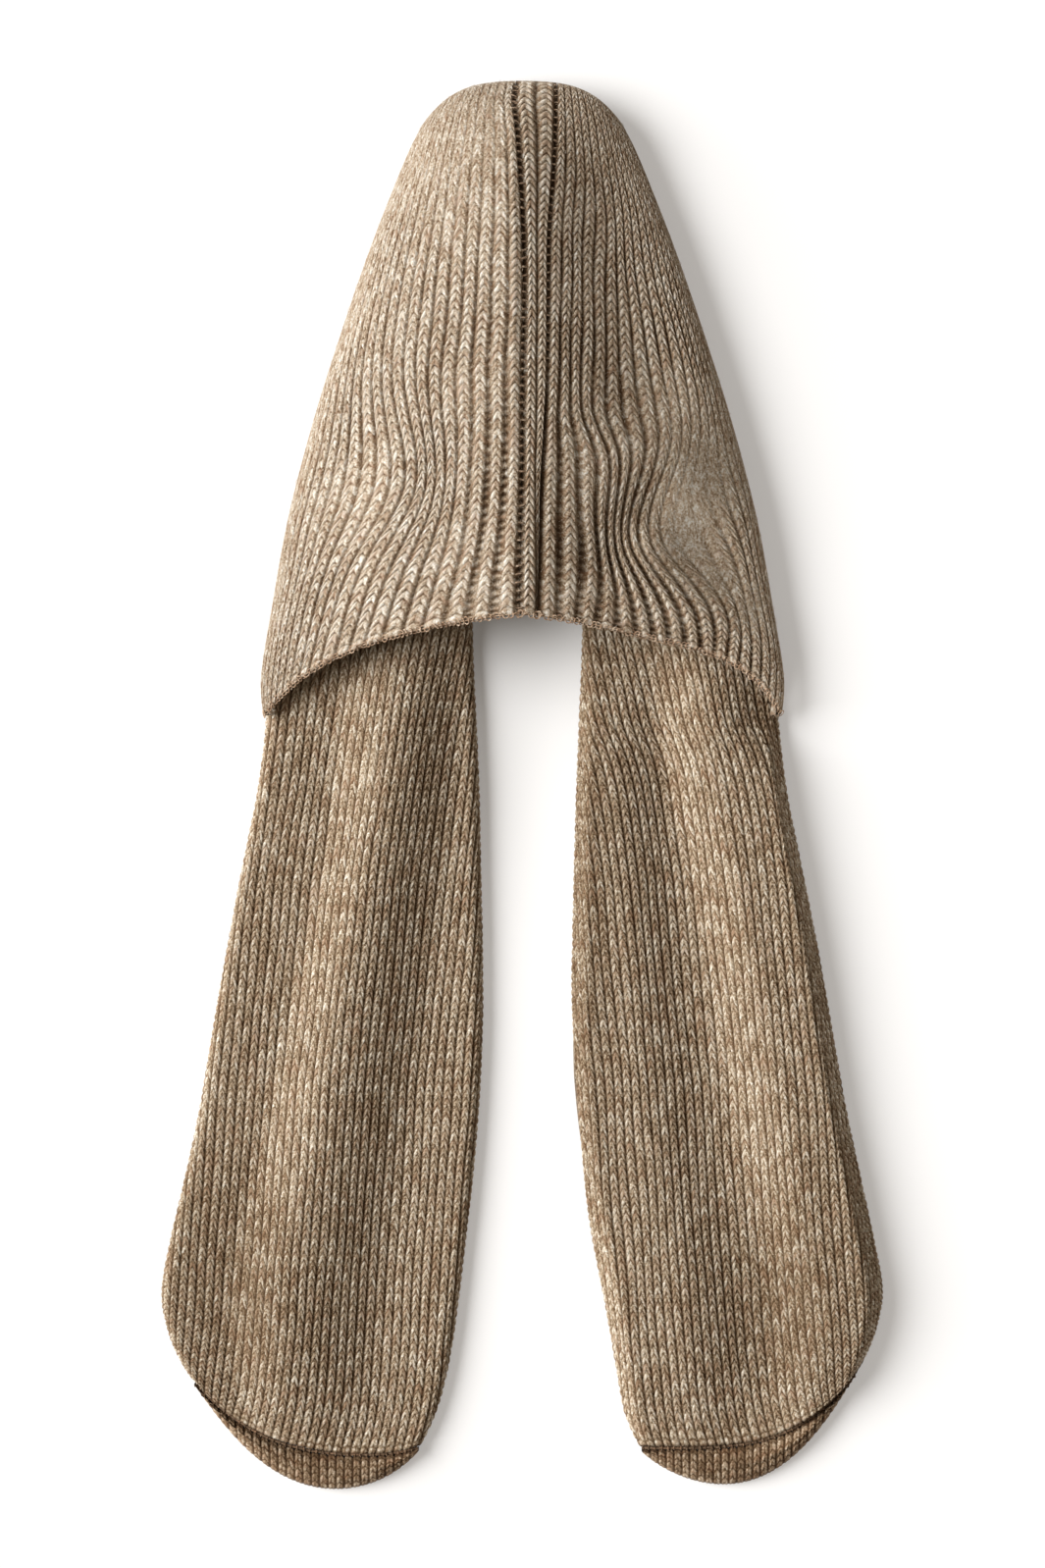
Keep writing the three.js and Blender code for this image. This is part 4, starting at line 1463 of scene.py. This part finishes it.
@dataclass(frozen=True)
class HeatherYarn:
    """Matt wool of mixed fibres: brown, tan and cream, carded together and twisted."""

    name: str
    dark: tuple[float, float, float]
    middle: tuple[float, float, float]
    light: tuple[float, float, float]
    rust: tuple[float, float, float] = (0.36, 0.2, 0.115)
    # deep is the colour painted where the yarn lies in shade; shade is how far it is mixed in.
    deep: tuple[float, float, float] = (0.05, 0.026, 0.011)
    shade: float = 0.86
    roughness: float = 0.92
    gloss: float = 0.2
    sheen: float = 0.05
    sheen_roughness: float = 0.6
    sheen_tint: tuple[float, float, float] = (0.9, 0.82, 0.72)
    bump: float = 0.6
    bump_height: float = 0.5

    def material(self, group: bpy.types.NodeTree) -> bpy.types.Material:
        """Makes the material round the shared yarn group.

        Args:
            group: the shared yarn group.

        Returns:
            The material.
        """
        made = bpy.data.materials.new(self.name)
        made.use_nodes = True
        wiring = Wiring(made.node_tree)
        yarn = wiring.node("ShaderNodeGroup", node_tree=group)
        wiring.fill(yarn, {
            "Knit": wiring.node("ShaderNodeUVMap", uv_map="knit").outputs["UV"],
            "Place": wiring.node("ShaderNodeTexCoord").outputs["Object"],
            "Hollow": wiring.node("ShaderNodeAttribute", attribute_name="hollow").outputs["Fac"],
            "Blurred": wiring.node("ShaderNodeAttribute", attribute_name="blurred").outputs["Fac"],
            "Shade": self.shade,
            "Dark": (*self.dark, 1),
            "Middle": (*self.middle, 1),
            "Light": (*self.light, 1),
            "Rust": (*self.rust, 1),
            "Deep": (*self.deep, 1),
        })
        bump = wiring.node("ShaderNodeBump")
        height = yarn.outputs["Height"]
        wiring.fill(bump, {"Strength": self.bump, "Distance": self.bump_height * MM, "Height": height})
        wiring.fill(made.node_tree.nodes["Principled BSDF"], {
            "Base Color": yarn.outputs["Colour"],
            "Normal": bump.outputs["Normal"],
            "Roughness": self.roughness,
            "Specular IOR Level": self.gloss,
            "Sheen Weight": self.sheen,
            "Sheen Roughness": self.sheen_roughness,
            "Sheen Tint": (*self.sheen_tint, 1),
        })
        return made


class Wiring:
    """A node tree in the making: adds nodes and feeds their sockets."""

    def __init__(self, tree: bpy.types.NodeTree) -> None:
        """Takes the tree that is wired."""
        self.tree = tree

    def node(self, kind: str, *fed: object, **settings: object) -> bpy.types.Node:
        """Adds a node, sets its properties and feeds its first sockets; None leaves one as it is.

        Args:
            kind: Blender's name of the node.
            fed: links or values for its first sockets.
            settings: its properties.

        Returns:
            The node.
        """
        made = self.tree.nodes.new(kind)
        for name, value in settings.items():
            setattr(made, name, value)
        for socket, value in zip(made.inputs, fed):
            if value is not None:
                self.feed(socket, value)
        return made

    def feed(self, socket: Socket, value: object) -> None:
        """Gives a socket a link, where the value is a socket, or else a constant.

        Args:
            socket: an input socket.
            value: an output socket or a constant.
        """
        if isinstance(value, Socket):
            self.tree.links.new(value, socket)
        else:
            socket.default_value = value

    def fill(self, node: bpy.types.Node, values: dict[str | int, object]) -> bpy.types.Node:
        """Feeds a node's sockets by name or number and returns the node.

        Args:
            node: the node.
            values: a link or a value for each socket.

        Returns:
            The same node.
        """
        for socket, value in values.items():
            self.feed(node.inputs[socket], value)
        return node

    def sum(self, operation: str, *values: object) -> Socket:
        """Adds a Math node on up to three sockets or numbers and returns its result."""
        return self.node("ShaderNodeMath", *values, operation=operation).outputs[0]

    def vector(self, *values: object) -> Socket:
        """Puts up to three numbers together to a vector."""
        return self.node("ShaderNodeCombineXYZ", *values).outputs[0]


class Group(Wiring):
    """A node group in the making, with named sockets."""

    def __init__(self, kind: str, name: str, given: dict[str, str], result: dict[str, str]) -> None:
        """Makes the empty group.

        Args:
            kind: of node tree.
            name: of the group.
            given: the type of each input socket, such as Float, under its name.
            result: the same of each output socket.
        """
        super().__init__(bpy.data.node_groups.new(name, kind))
        for in_out, sockets in (("INPUT", given), ("OUTPUT", result)):
            for label, ending in sockets.items():
                self.tree.interface.new_socket(name=label, in_out=in_out, socket_type=f"NodeSocket{ending}")
        self.given = self.tree.nodes.new("NodeGroupInput").outputs
        self.result = self.tree.nodes.new("NodeGroupOutput").inputs


class YarnGroup(Group):
    """The shared node group that colours heathered yarn, paints its shade and gives it its twist."""

    TONES = ("Dark", "Middle", "Light", "Rust", "Deep")
    TWIST = (9.0, 5.0)
    FIBRE_WIDTH = 3.6
    FLECK_SCALE = 700.0
    CLOUD_SCALE = 60.0
    FUZZ_SCALE = 560.0
    FUZZ_STRETCH = (1.0, 0.4, 1.0)
    SHARES = {"leg": 0.16, "fibre": 0.5, "fuzz": 0.8, "fleck": 0.62, "cloud": 0.1, "rust": 0.62}
    TONE_SPAN = (0.52, 0.89)
    RUST_RUN = (0.45, 1.1, 4.0)
    RUST_SPAN = (0.48, 0.66)
    RUST_FLECKS = (0.3, 0.6)
    # The most that the painted shade colour is mixed in.
    DEEPEST = 0.97

    def __init__(self) -> None:
        """Makes the empty group with its named sockets."""
        given = {"Knit": "Vector", "Place": "Vector", "Hollow": "Float", "Blurred": "Float", "Shade": "Float"}
        given.update({tone: "Color" for tone in self.TONES})
        super().__init__("ShaderNodeTree", "heather_yarn", given, {"Colour": "Color", "Height": "Float"})

    def noise(self, vector: Socket, scale: float, detail: float, rough: float) -> Socket:
        """Adds a noise texture on a vector and returns its value."""
        values = {"Vector": vector, "Scale": scale, "Detail": detail, "Roughness": rough}
        return self.fill(self.node("ShaderNodeTexNoise"), values).outputs["Fac"]

    def span(self, value: Socket, low: float, high: float) -> Socket:
        """Stretches the span from low to high over 0 to 1 and holds it there."""
        values = {"Value": value, "From Min": low, "From Max": high}
        return self.fill(self.node("ShaderNodeMapRange"), values).outputs["Result"]

    def blend(self, share: object, one: Socket, other: Socket) -> Socket:
        """Mixes two colours."""
        made = self.node("ShaderNodeMix", data_type="RGBA")
        return self.fill(made, {0: share, 6: one, 7: other}).outputs[2]

    def build(self) -> bpy.types.NodeTree:
        """Wires the group: fibres along the yarn, a tone for each leg, rust flecks, and painted shade in the
        hollows.
        """
        split = self.fill(self.node("ShaderNodeSeparateXYZ"), {0: self.given["Knit"]})
        wale = split.outputs["X"]
        row = split.outputs["Y"]
        twist = self.sum("MULTIPLY_ADD", row, self.TWIST[1], self.sum("MULTIPLY", wale, self.TWIST[0]))
        strand = self.vector(self.sum("MULTIPLY", wale, self.FIBRE_WIDTH), twist, 0.0)
        fibre = self.noise(strand, 1.0, 3.0, 0.62)
        cell = self.vector(self.sum("FLOOR", self.sum("MULTIPLY", wale, 2.0)), self.sum("FLOOR", row), 0.0)
        leg = self.fill(self.node("ShaderNodeTexWhiteNoise", noise_dimensions="2D"), {"Vector": cell})
        place = self.given["Place"]
        fleck = self.noise(place, self.FLECK_SCALE, 2.0, 0.7)
        cloud = self.noise(place, self.CLOUD_SCALE, 3.0, 0.6)
        drawn_out = self.node("ShaderNodeVectorMath", place, self.FUZZ_STRETCH, operation="MULTIPLY")
        fuzz = self.noise(drawn_out.outputs[0], self.FUZZ_SCALE, 3.0, 0.7)
        clear = self.sum("SUBTRACT", 1.0, self.given["Blurred"])
        strands = self.sum("MULTIPLY", fibre, self.SHARES["fibre"])
        strands = self.sum("MULTIPLY_ADD", leg.outputs["Value"], self.SHARES["leg"], strands)
        fuzzed = self.sum("MULTIPLY", self.sum("MULTIPLY", fuzz, self.SHARES["fuzz"]), self.given["Blurred"])
        tone = self.sum("ADD", self.sum("MULTIPLY", strands, clear), fuzzed)
        tone = self.sum("MULTIPLY_ADD", fleck, self.SHARES["fleck"], tone)
        tone = self.sum("MULTIPLY_ADD", cloud, self.SHARES["cloud"], tone)
        tone = self.span(tone, *self.TONE_SPAN)
        colour = self.blend(self.span(tone, 0.0, 0.5), self.given["Dark"], self.given["Middle"])
        colour = self.blend(self.span(tone, 0.5, 1.0), colour, self.given["Light"])
        along, up, slice_at = self.RUST_RUN
        stretch = self.vector(self.sum("MULTIPLY", wale, along), self.sum("MULTIPLY", row, up), slice_at)
        run = self.noise(stretch, 1.0, 2.0, 0.6)
        rust = self.sum("MULTIPLY", self.span(run, *self.RUST_SPAN), self.span(fleck, *self.RUST_FLECKS))
        rust = self.sum("MULTIPLY", self.sum("MULTIPLY", rust, clear), self.SHARES["rust"])
        colour = self.blend(rust, colour, self.given["Rust"])
        # Painted shade: the colour goes darker and warmer with the painted shade value, and then towards the
        # shade colour.
        gamma = self.sum("MULTIPLY_ADD", self.given["Hollow"], 0.9, 1.0)
        shaded_colour = self.fill(self.node("ShaderNodeGamma"), {"Color": colour, "Gamma": gamma})
        dim = self.sum("MULTIPLY", self.given["Hollow"], self.given["Shade"])
        dim = self.sum("MINIMUM", dim, self.DEEPEST)
        self.feed(self.result["Colour"], self.blend(dim, shaded_colour.outputs[0], self.given["Deep"]))
        self.feed(self.result["Height"], self.sum("MULTIPLY_ADD", fleck, 0.8, fibre))
        return self.tree


class ShadeGroup(Group):
    """The node group for the floor's glow, which fades in soft patches: 1 in the open, 0 in full shade."""

    def __init__(self) -> None:
        """Names the group's sockets."""
        super().__init__("ShaderNodeTree", "soft_shade", {"Place": "Vector"}, {"Mask": "Float"})

    def build(self, patches: tuple[Worn, ...]) -> bpy.types.NodeTree:
        """Wires the group for some patches, each as deep as its dim says.

        Args:
            patches: where the glow fades.

        Returns:
            The finished group.
        """
        mask = 1.0
        for patch in patches:
            centre = (patch.x * MM, patch.y * MM, 0.0)
            stretch = (1 / (patch.reach_x * MM), 1 / (patch.reach_y * MM), 0.0)
            away = self.node("ShaderNodeVectorMath", self.given["Place"], centre, operation="SUBTRACT")
            away = self.node("ShaderNodeVectorMath", away.outputs[0], stretch, operation="MULTIPLY")
            away = self.node("ShaderNodeVectorMath", away.outputs[0], operation="LENGTH").outputs["Value"]
            near = self.sum("EXPONENT", self.sum("MULTIPLY", self.sum("POWER", away, 2.0), -1.0))
            mask = self.sum("MULTIPLY", mask, self.sum("MULTIPLY_ADD", near, -patch.dim, 1.0))
        self.feed(self.result["Mask"], mask)
        return self.tree


class Growth(Group):
    """A Geometry Nodes tree that grows small parts on a mesh, with a named input for each of its sizes."""

    def __init__(self, name: str, sizes: dict[str, float]) -> None:
        """Makes the empty tree.

        Args:
            name: of the tree.
            sizes: the name and value of each input.
        """
        given = {label: "Int" if isinstance(value, int) else "Float" for label, value in sizes.items()}
        given = {"Base": "Geometry", **given, "Yarn": "Material"}
        super().__init__("GeometryNodeTree", name, given, {"Parts": "Geometry"})
        self.sizes = sizes

    def tube(self, path: Socket, radius: object, sides: int) -> Socket:
        """Makes a closed tube along a curve.

        Args:
            path: the curve.
            radius: of the tube.
            sides: how many sides the tube has.

        Returns:
            The tube's mesh.
        """
        ring = self.fill(self.node("GeometryNodeCurvePrimitiveCircle", sides), {"Radius": radius})
        made = self.node("GeometryNodeCurveToMesh", path, ring.outputs[0])
        return self.fill(made, {"Fill Caps": True}).outputs[0]

    def random(self, low: object, high: object, seed: object) -> Socket:
        """A value for each place between two numbers, or for vectors between two vectors.

        Args:
            low: the lower end.
            high: the upper end.
            seed: which random row.

        Returns:
            The value's socket.
        """
        flat = not isinstance(low, tuple)
        made = self.node("FunctionNodeRandomValue", data_type="FLOAT" if flat else "FLOAT_VECTOR")
        first = 2 if flat else 0
        self.fill(made, {first: low, first + 1: high, "Seed": seed})
        return made.outputs[1 if flat else 0]

    def finish(self, parts: Socket) -> None:
        """Ends the tree: the parts made real, with a knit map from their place, smooth and in their yarn.

        Args:
            parts: the instances or meshes that were grown.
        """
        real = self.node("GeometryNodeRealizeInstances", parts).outputs[0]
        place = self.node("GeometryNodeInputPosition").outputs[0]
        spread = self.node("ShaderNodeVectorMath", place, operation="SCALE")
        self.fill(spread, {"Scale": self.given["Map Scale"]})
        mapped = self.node("GeometryNodeStoreNamedAttribute", real, data_type="FLOAT2", domain="CORNER")
        self.fill(mapped, {"Name": "knit", "Value": spread.outputs[0]})
        soft = self.node("GeometryNodeSetShadeSmooth", mapped.outputs[0]).outputs[0]
        made = self.fill(self.node("GeometryNodeSetMaterial", soft), {"Material": self.given["Yarn"]})
        self.feed(self.result["Parts"], made.outputs[0])

    def grow(self, name: str, mesh: bpy.types.Mesh, yarn: bpy.types.Material) -> bpy.types.Object:
        """Runs the tree once.

        Args:
            name: of the piece.
            mesh: what the parts grow on.
            yarn: their material.

        Returns:
            The parts as one plain mesh object.
        """
        carrier = bpy.data.objects.new(name, mesh)
        bpy.context.scene.collection.objects.link(carrier)
        modifier = carrier.modifiers.new(name, "NODES")
        modifier.node_group = self.tree
        values = {**self.sizes, "Yarn": yarn}
        for item in self.tree.interface.items_tree:
            if item.item_type == "SOCKET" and item.in_out == "INPUT" and item.name in values:
                modifier[item.identifier] = values[item.name]
        graph = bpy.context.evaluated_depsgraph_get()
        parts = bpy.data.meshes.new_from_object(carrier.evaluated_get(graph), depsgraph=graph)
        carrier.modifiers.remove(modifier)
        bpy.data.objects.remove(carrier)
        parts.name = name
        piece = bpy.data.objects.new(name, parts)
        bpy.context.scene.collection.objects.link(piece)
        return piece


@dataclass(frozen=True)
class LoopRow:
    """A row of small yarn loops wound along a line, such as a cast-on edge or the stitches of a seam."""

    spacing: float = 3.0
    radius: float = 1.8
    yarn: float = 0.7
    long: float = 1.4
    lean: float = 0.5
    core: float = 0.8
    sides: int = 8
    seed: int = 4
    size_range: tuple[float, float] = (0.8, 1.15)
    map_step: float = 3.0

    def grow(
        self, name: str, line: np.ndarray, axis: np.ndarray, ahead: np.ndarray, yarn: bpy.types.Material
    ) -> bpy.types.Object:
        """Winds the loops.

        Args:
            name: of the piece.
            line: points of the line, in millimetres.
            axis: at each point, the direction about which a loop is wound.
            ahead: at each point, the direction in which a loop is long.
            yarn: the material.

        Returns:
            The row as one piece.
        """
        mesh = bpy.data.meshes.new(f"{name}_line")
        mesh.from_pydata((line * MM).tolist(), [(i, i + 1) for i in range(len(line) - 1)], [])
        for label, vectors in (("axis", axis), ("ahead", ahead)):
            layer = mesh.attributes.new(label, "FLOAT_VECTOR", "POINT")
            layer.data.foreach_set("vector", np.asarray(vectors, np.float32).ravel())
        tree = Growth(name, {
            "Spacing": self.spacing * MM,
            "Radius": self.radius * MM,
            "Thickness": 0.5 * self.yarn * MM,
            "Core": 0.5 * self.core * MM,
            "Seed": self.seed,
            "Map Scale": 1 / (self.map_step * MM),
        })
        curve = tree.node("GeometryNodeMeshToCurve", tree.given["Base"]).outputs[0]
        even = tree.node("GeometryNodeResampleCurve", curve, mode="LENGTH")
        tree.fill(even, {"Length": tree.given["Spacing"]})
        ring = tree.node("GeometryNodeCurvePrimitiveCircle", self.sides)
        tree.fill(ring, {"Radius": tree.given["Radius"]})
        loop = tree.tube(ring.outputs[0], tree.given["Thickness"], 4)
        turn = None
        for label, way in (("axis", "Z"), ("ahead", "Y")):
            aim = tree.node("GeometryNodeInputNamedAttribute", label, data_type="FLOAT_VECTOR").outputs[0]
            pivot = "AUTO" if turn is None else "Z"
            made = tree.node("FunctionNodeAlignRotationToVector", turn, axis=way, pivot_axis=pivot)
            turn = tree.fill(made, {"Vector": aim}).outputs[0]
        seed = tree.given["Seed"]
        leaning = tree.random((-self.lean,) * 3, (self.lean,) * 3, seed)
        leant = tree.node("FunctionNodeRotateRotation", turn, leaning, rotation_space="LOCAL")
        small, large = self.size_range
        size = tree.random((small, small * self.long, small), (large, large * self.long, large), seed)
        put = tree.node("GeometryNodeInstanceOnPoints", even.outputs[0])
        tree.fill(put, {"Instance": loop, "Rotation": leant.outputs[0], "Scale": size})
        joined = tree.node("GeometryNodeJoinGeometry")
        if self.core > 0:
            tree.feed(joined.inputs[0], tree.tube(even.outputs[0], tree.given["Core"], 5))
        tree.feed(joined.inputs[0], put.outputs[0])
        tree.finish(joined.outputs[0])
        return tree.grow(name, mesh, yarn)


@dataclass(frozen=True)
class Fibres:
    """Short stray fibres that arch out of a knitted face."""

    spread: float = 60000.0
    length: float = 3.2
    rise: float = 1.1
    thick: float = 0.18
    facing: float = 0.15
    seed: int = 12
    tilt: float = 0.3
    smallest: tuple[float, float, float] = (0.5, 0.4, 0.5)
    largest: tuple[float, float, float] = (1.2, 1.4, 1.5)
    map_step: float = 1.1

    def grow(self, name: str, mesh: bpy.types.Mesh, yarn: bpy.types.Material) -> bpy.types.Object:
        """Strews the fibres over the upper side of a mesh; spread counts them on a square metre.

        Args:
            name: of the piece.
            mesh: what the fibres grow on.
            yarn: their material.

        Returns:
            The fibres as one piece.
        """
        tree = Growth(name, {
            "Spread": self.spread,
            "Length": self.length * MM,
            "Rise": self.rise * MM,
            "Thickness": 0.5 * self.thick * MM,
            "Facing": self.facing,
            "Seed": self.seed,
            "Map Scale": 1 / (self.map_step * MM),
        })
        seed = tree.given["Seed"]
        normal = tree.node("GeometryNodeInputNormal").outputs[0]
        up = tree.node("ShaderNodeSeparateXYZ", normal).outputs["Z"]
        upper = tree.node("FunctionNodeCompare", up, tree.given["Facing"], operation="GREATER_THAN")
        kind = "GeometryNodeDistributePointsOnFaces"
        strewn = tree.node(kind, tree.given["Base"], distribute_method="RANDOM")
        tree.fill(strewn, {"Selection": upper.outputs[0], "Density": tree.given["Spread"], "Seed": seed})
        bend = tree.node("GeometryNodeCurveQuadraticBezier", 3)
        along = tree.sum("MULTIPLY", tree.given["Length"], 0.5)
        tree.fill(bend, {
            "Start": tree.vector(0.0, tree.sum("MULTIPLY", along, -1.0), 0.0),
            "Middle": tree.vector(0.0, 0.0, tree.given["Rise"]),
            "End": tree.vector(0.0, along, 0.0),
        })
        hair = tree.tube(bend.outputs[0], tree.given["Thickness"], 3)
        turned = tree.node("FunctionNodeRotateRotation", strewn.outputs["Rotation"], rotation_space="LOCAL")
        least = (-self.tilt, -self.tilt, 0.0)
        tree.fill(turned, {1: tree.random(least, (self.tilt, self.tilt, 2 * math.pi), seed)})
        put = tree.node("GeometryNodeInstanceOnPoints", strewn.outputs["Points"])
        size = tree.random(self.smallest, self.largest, seed)
        tree.fill(put, {"Instance": hair, "Rotation": turned.outputs[0], "Scale": size})
        bare = put.outputs[0]
        for label in ("hollow", "blurred"):
            stripped = tree.node("GeometryNodeRemoveAttribute", bare)
            bare = tree.fill(stripped, {"Name": label}).outputs[0]
        tree.finish(bare)
        return tree.grow(name, mesh, yarn)


@dataclass
class Studio:
    """A white floor that glows a little, a wide key light from the left, and the camera straight above."""

    pixel: float = 0.66 * MM
    image_height: int = 1598
    distance: float = 4.0
    focus_z: float = 0.012
    sensor: float = 36.0
    far: float = 50.0
    floor_size: float = 8.0
    floor_tone: float = 0.66
    floor_glow: float = 0.3
    floor_shade: tuple[Worn, ...] = (Worn(2, 112, 60, 65, dim=1), Worn(-10, 10, 26, 90, dim=0.4))
    key_strength: float = 5.2
    key_from: tuple[float, float, float] = (-0.81, 0.1, 0.57)
    key_softness: float = math.radians(46)
    sky_strength: float = 0.26
    sky_tone: tuple[float, float, float] = (1.0, 0.86, 0.7)

    def camera(self) -> None:
        """Puts the camera over the middle of the garment, looking straight down."""
        data = bpy.data.cameras.new("camera")
        view = bpy.data.objects.new("camera", data)
        bpy.context.scene.collection.objects.link(view)
        data.sensor_width = self.sensor
        data.lens = self.sensor * (self.distance - self.focus_z) / (self.pixel * self.image_height)
        data.clip_end = self.far
        view.location = (0, 0, self.distance)
        bpy.context.scene.camera = view

    def floor(self) -> None:
        """Lays the white floor."""
        half = self.floor_size / 2
        mesh = bpy.data.meshes.new("floor")
        corners = [(-half, -half, 0), (half, -half, 0), (half, half, 0), (-half, half, 0)]
        mesh.from_pydata(corners, [], [(0, 1, 2, 3)])
        white = bpy.data.materials.new("floor_white")
        white.use_nodes = True
        wiring = Wiring(white.node_tree)
        shade = wiring.node("ShaderNodeGroup", node_tree=ShadeGroup().build(self.floor_shade))
        wiring.fill(shade, {"Place": wiring.node("ShaderNodeTexCoord").outputs["Object"]})
        wiring.fill(white.node_tree.nodes["Principled BSDF"], {
            "Base Color": (self.floor_tone, self.floor_tone, self.floor_tone, 1),
            "Roughness": 1.0,
            "Specular IOR Level": 0.0,
            "Emission Color": (1, 1, 1, 1),
            "Emission Strength": wiring.sum("MULTIPLY", shade.outputs["Mask"], self.floor_glow),
        })
        mesh.materials.append(white)
        ground = bpy.data.objects.new("floor", mesh)
        bpy.context.scene.collection.objects.link(ground)

    def lights(self) -> None:
        """Hangs the key light on the left and fills the rest with a dim warm sky."""
        data = bpy.data.lights.new("key", "SUN")
        data.energy = self.key_strength
        data.angle = self.key_softness
        key = bpy.data.objects.new("key", data)
        bpy.context.scene.collection.objects.link(key)
        key.rotation_mode = "QUATERNION"
        key.rotation_quaternion = Vector(self.key_from).to_track_quat("Z", "Y")
        world = bpy.data.worlds.new("sky")
        bpy.context.scene.world = world
        world.use_nodes = True
        back = world.node_tree.nodes["Background"]
        back.inputs["Color"].default_value = (*self.sky_tone, 1)
        back.inputs["Strength"].default_value = self.sky_strength
        bpy.context.scene.view_settings.view_transform = "Standard"


YARNS = (
    HeatherYarn("rib_yarn", (0.27, 0.18, 0.108), (0.64, 0.55, 0.435), (0.96, 0.95, 0.9)),
    HeatherYarn("plain_yarn", (0.19, 0.12, 0.065), (0.55, 0.447, 0.325), (0.95, 0.91, 0.81)),
    # A darker copy of the plain yarn: painted shade on the turned-down toe.
    HeatherYarn("toe_yarn", (0.13, 0.08, 0.041), (0.37, 0.27, 0.177), (0.8, 0.69, 0.55)),
    HeatherYarn("edge_yarn", (0.2, 0.11, 0.06), (0.5, 0.35, 0.235), (0.86, 0.74, 0.6)),
    # A near-black yarn for the toe seam's stitches: painted shade in the seam's groove.
    HeatherYarn("seam_yarn", (0.05, 0.028, 0.014), (0.13, 0.082, 0.048), (0.3, 0.21, 0.14)),
    # A darker yarn for the rungs: painted shade in the valleys beside the centre band.
    HeatherYarn("rung_yarn", (0.12, 0.07, 0.038), (0.33, 0.235, 0.16), (0.62, 0.5, 0.38)),
    HeatherYarn("fibre_yarn", (0.3, 0.2, 0.12), (0.7, 0.58, 0.44), (1.0, 0.97, 0.9)),
)


def dress(piece: bpy.types.Object) -> bpy.types.Object:
    """Lets a piece ride on the garment's body; a knitted piece also stands for its CAD node, which is hidden.

    Args:
        piece: the finished piece.

    Returns:
        The piece.
    """
    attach(piece, BODY)
    if piece.name.endswith("_knit"):
        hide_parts(piece.name.removesuffix("_knit"))
    LOG.info("%s: %d faces", piece.name, len(piece.data.polygons))
    return piece


def build_hood(yarns: dict[str, bpy.types.Material]) -> None:
    """Builds the hood's two halves and its centre band, laid on the scarf lengths.

    Args:
        yarns: the materials by name.
    """
    hem = LoopRow()
    left = HoodHalf(Side.LEFT, 20, depth=1.03)
    right = HoodHalf(Side.RIGHT, 18, depth=1.15, pale=0.35, stray=0.13, broken=2.2)
    for wall, cut in ((left, (0.22, 0.39)), (right, (0.2, 0.39))):
        word = wall.side.word
        half = dress(wall.build(yarns["rib_yarn"]))
        loops = dress(hem.grow(f"hem_loops_{word}", *wall.hem_line(), yarns["edge_yarn"]))
        fuzz = dress(Fibres().grow(f"hood_fibres_{word}", half.data, yarns["fibre_yarn"]))
    band = SeamBand()
    strip = dress(band.build(yarns["rib_yarn"]))
    loops = dress(hem.grow("hem_loops_band", *band.hem_line(), yarns["edge_yarn"]))
    wide = LoopRow(spacing=5.6, radius=2.9, yarn=1.3, long=0.4, lean=0.3, core=0, seed=7)
    slim = LoopRow(spacing=5.6, radius=1.9, yarn=1.1, long=0.5, lean=0.3, core=0, seed=9)
    rungs = [
        dress(row.grow(name, *band.valley_line(column, first, 9.4), yarns["rung_yarn"]))
        for row, name, column, first in (
            (wide, "rungs_left", "bandLeft", 0.2),
            (slim, "rungs_right", "bandRight", 3.4),
        )
    ]


def build_scarf(yarns: dict[str, bpy.types.Material]) -> None:
    """Builds the two scarf lengths with their toes and toe seams, laid on the floor.

    Args:
        yarns: the materials by name.
    """
    crest = Ridge(0.3, 0.565, 130, -450, 0.33, 0.23, 14.5)
    plateaus = (Ridge(0.62, 0.82, 120, -450, 0.26, 2, 14.5), Ridge(0.1, 0.25, 90, -450, 2, 0.27, 8))
    left = ScarfLength(Side.LEFT, (crest,), inner_sag=3.2, outer_sag=1.2)
    right = ScarfLength(Side.RIGHT, plateaus, inner_sag=1.2, outer_sag=2.3)
    stitches = LoopRow(spacing=4.2, radius=1.5, yarn=0.9, long=1.0, lean=0.35, core=2.0, seed=6)
    sparse = Fibres(30000.0)
    for length, toe_depth in ((left, 25.0), (right, 26.5)):
        word = length.side.word
        end = Toe(length, toe_depth)
        tail = dress(length.build(yarns["plain_yarn"]))
        toe = dress(end.build(yarns["toe_yarn"]))
        seam = dress(stitches.grow(f"toe_seam_{word}", *end.seam_line(), yarns["seam_yarn"]))
        fuzz = dress(sparse.grow(f"scarf_fibres_{word}", tail.data, yarns["fibre_yarn"]))


def main() -> None:
    """Builds the garment piece by piece, then the studio."""
    logging.basicConfig(level=logging.INFO)
    group = YarnGroup().build()
    yarns = {yarn.name: yarn.material(group) for yarn in YARNS}
    build_hood(yarns)
    build_scarf(yarns)
    studio = Studio()
    studio.floor()
    studio.lights()
    studio.camera()


if __name__ == "__main__":
    main()
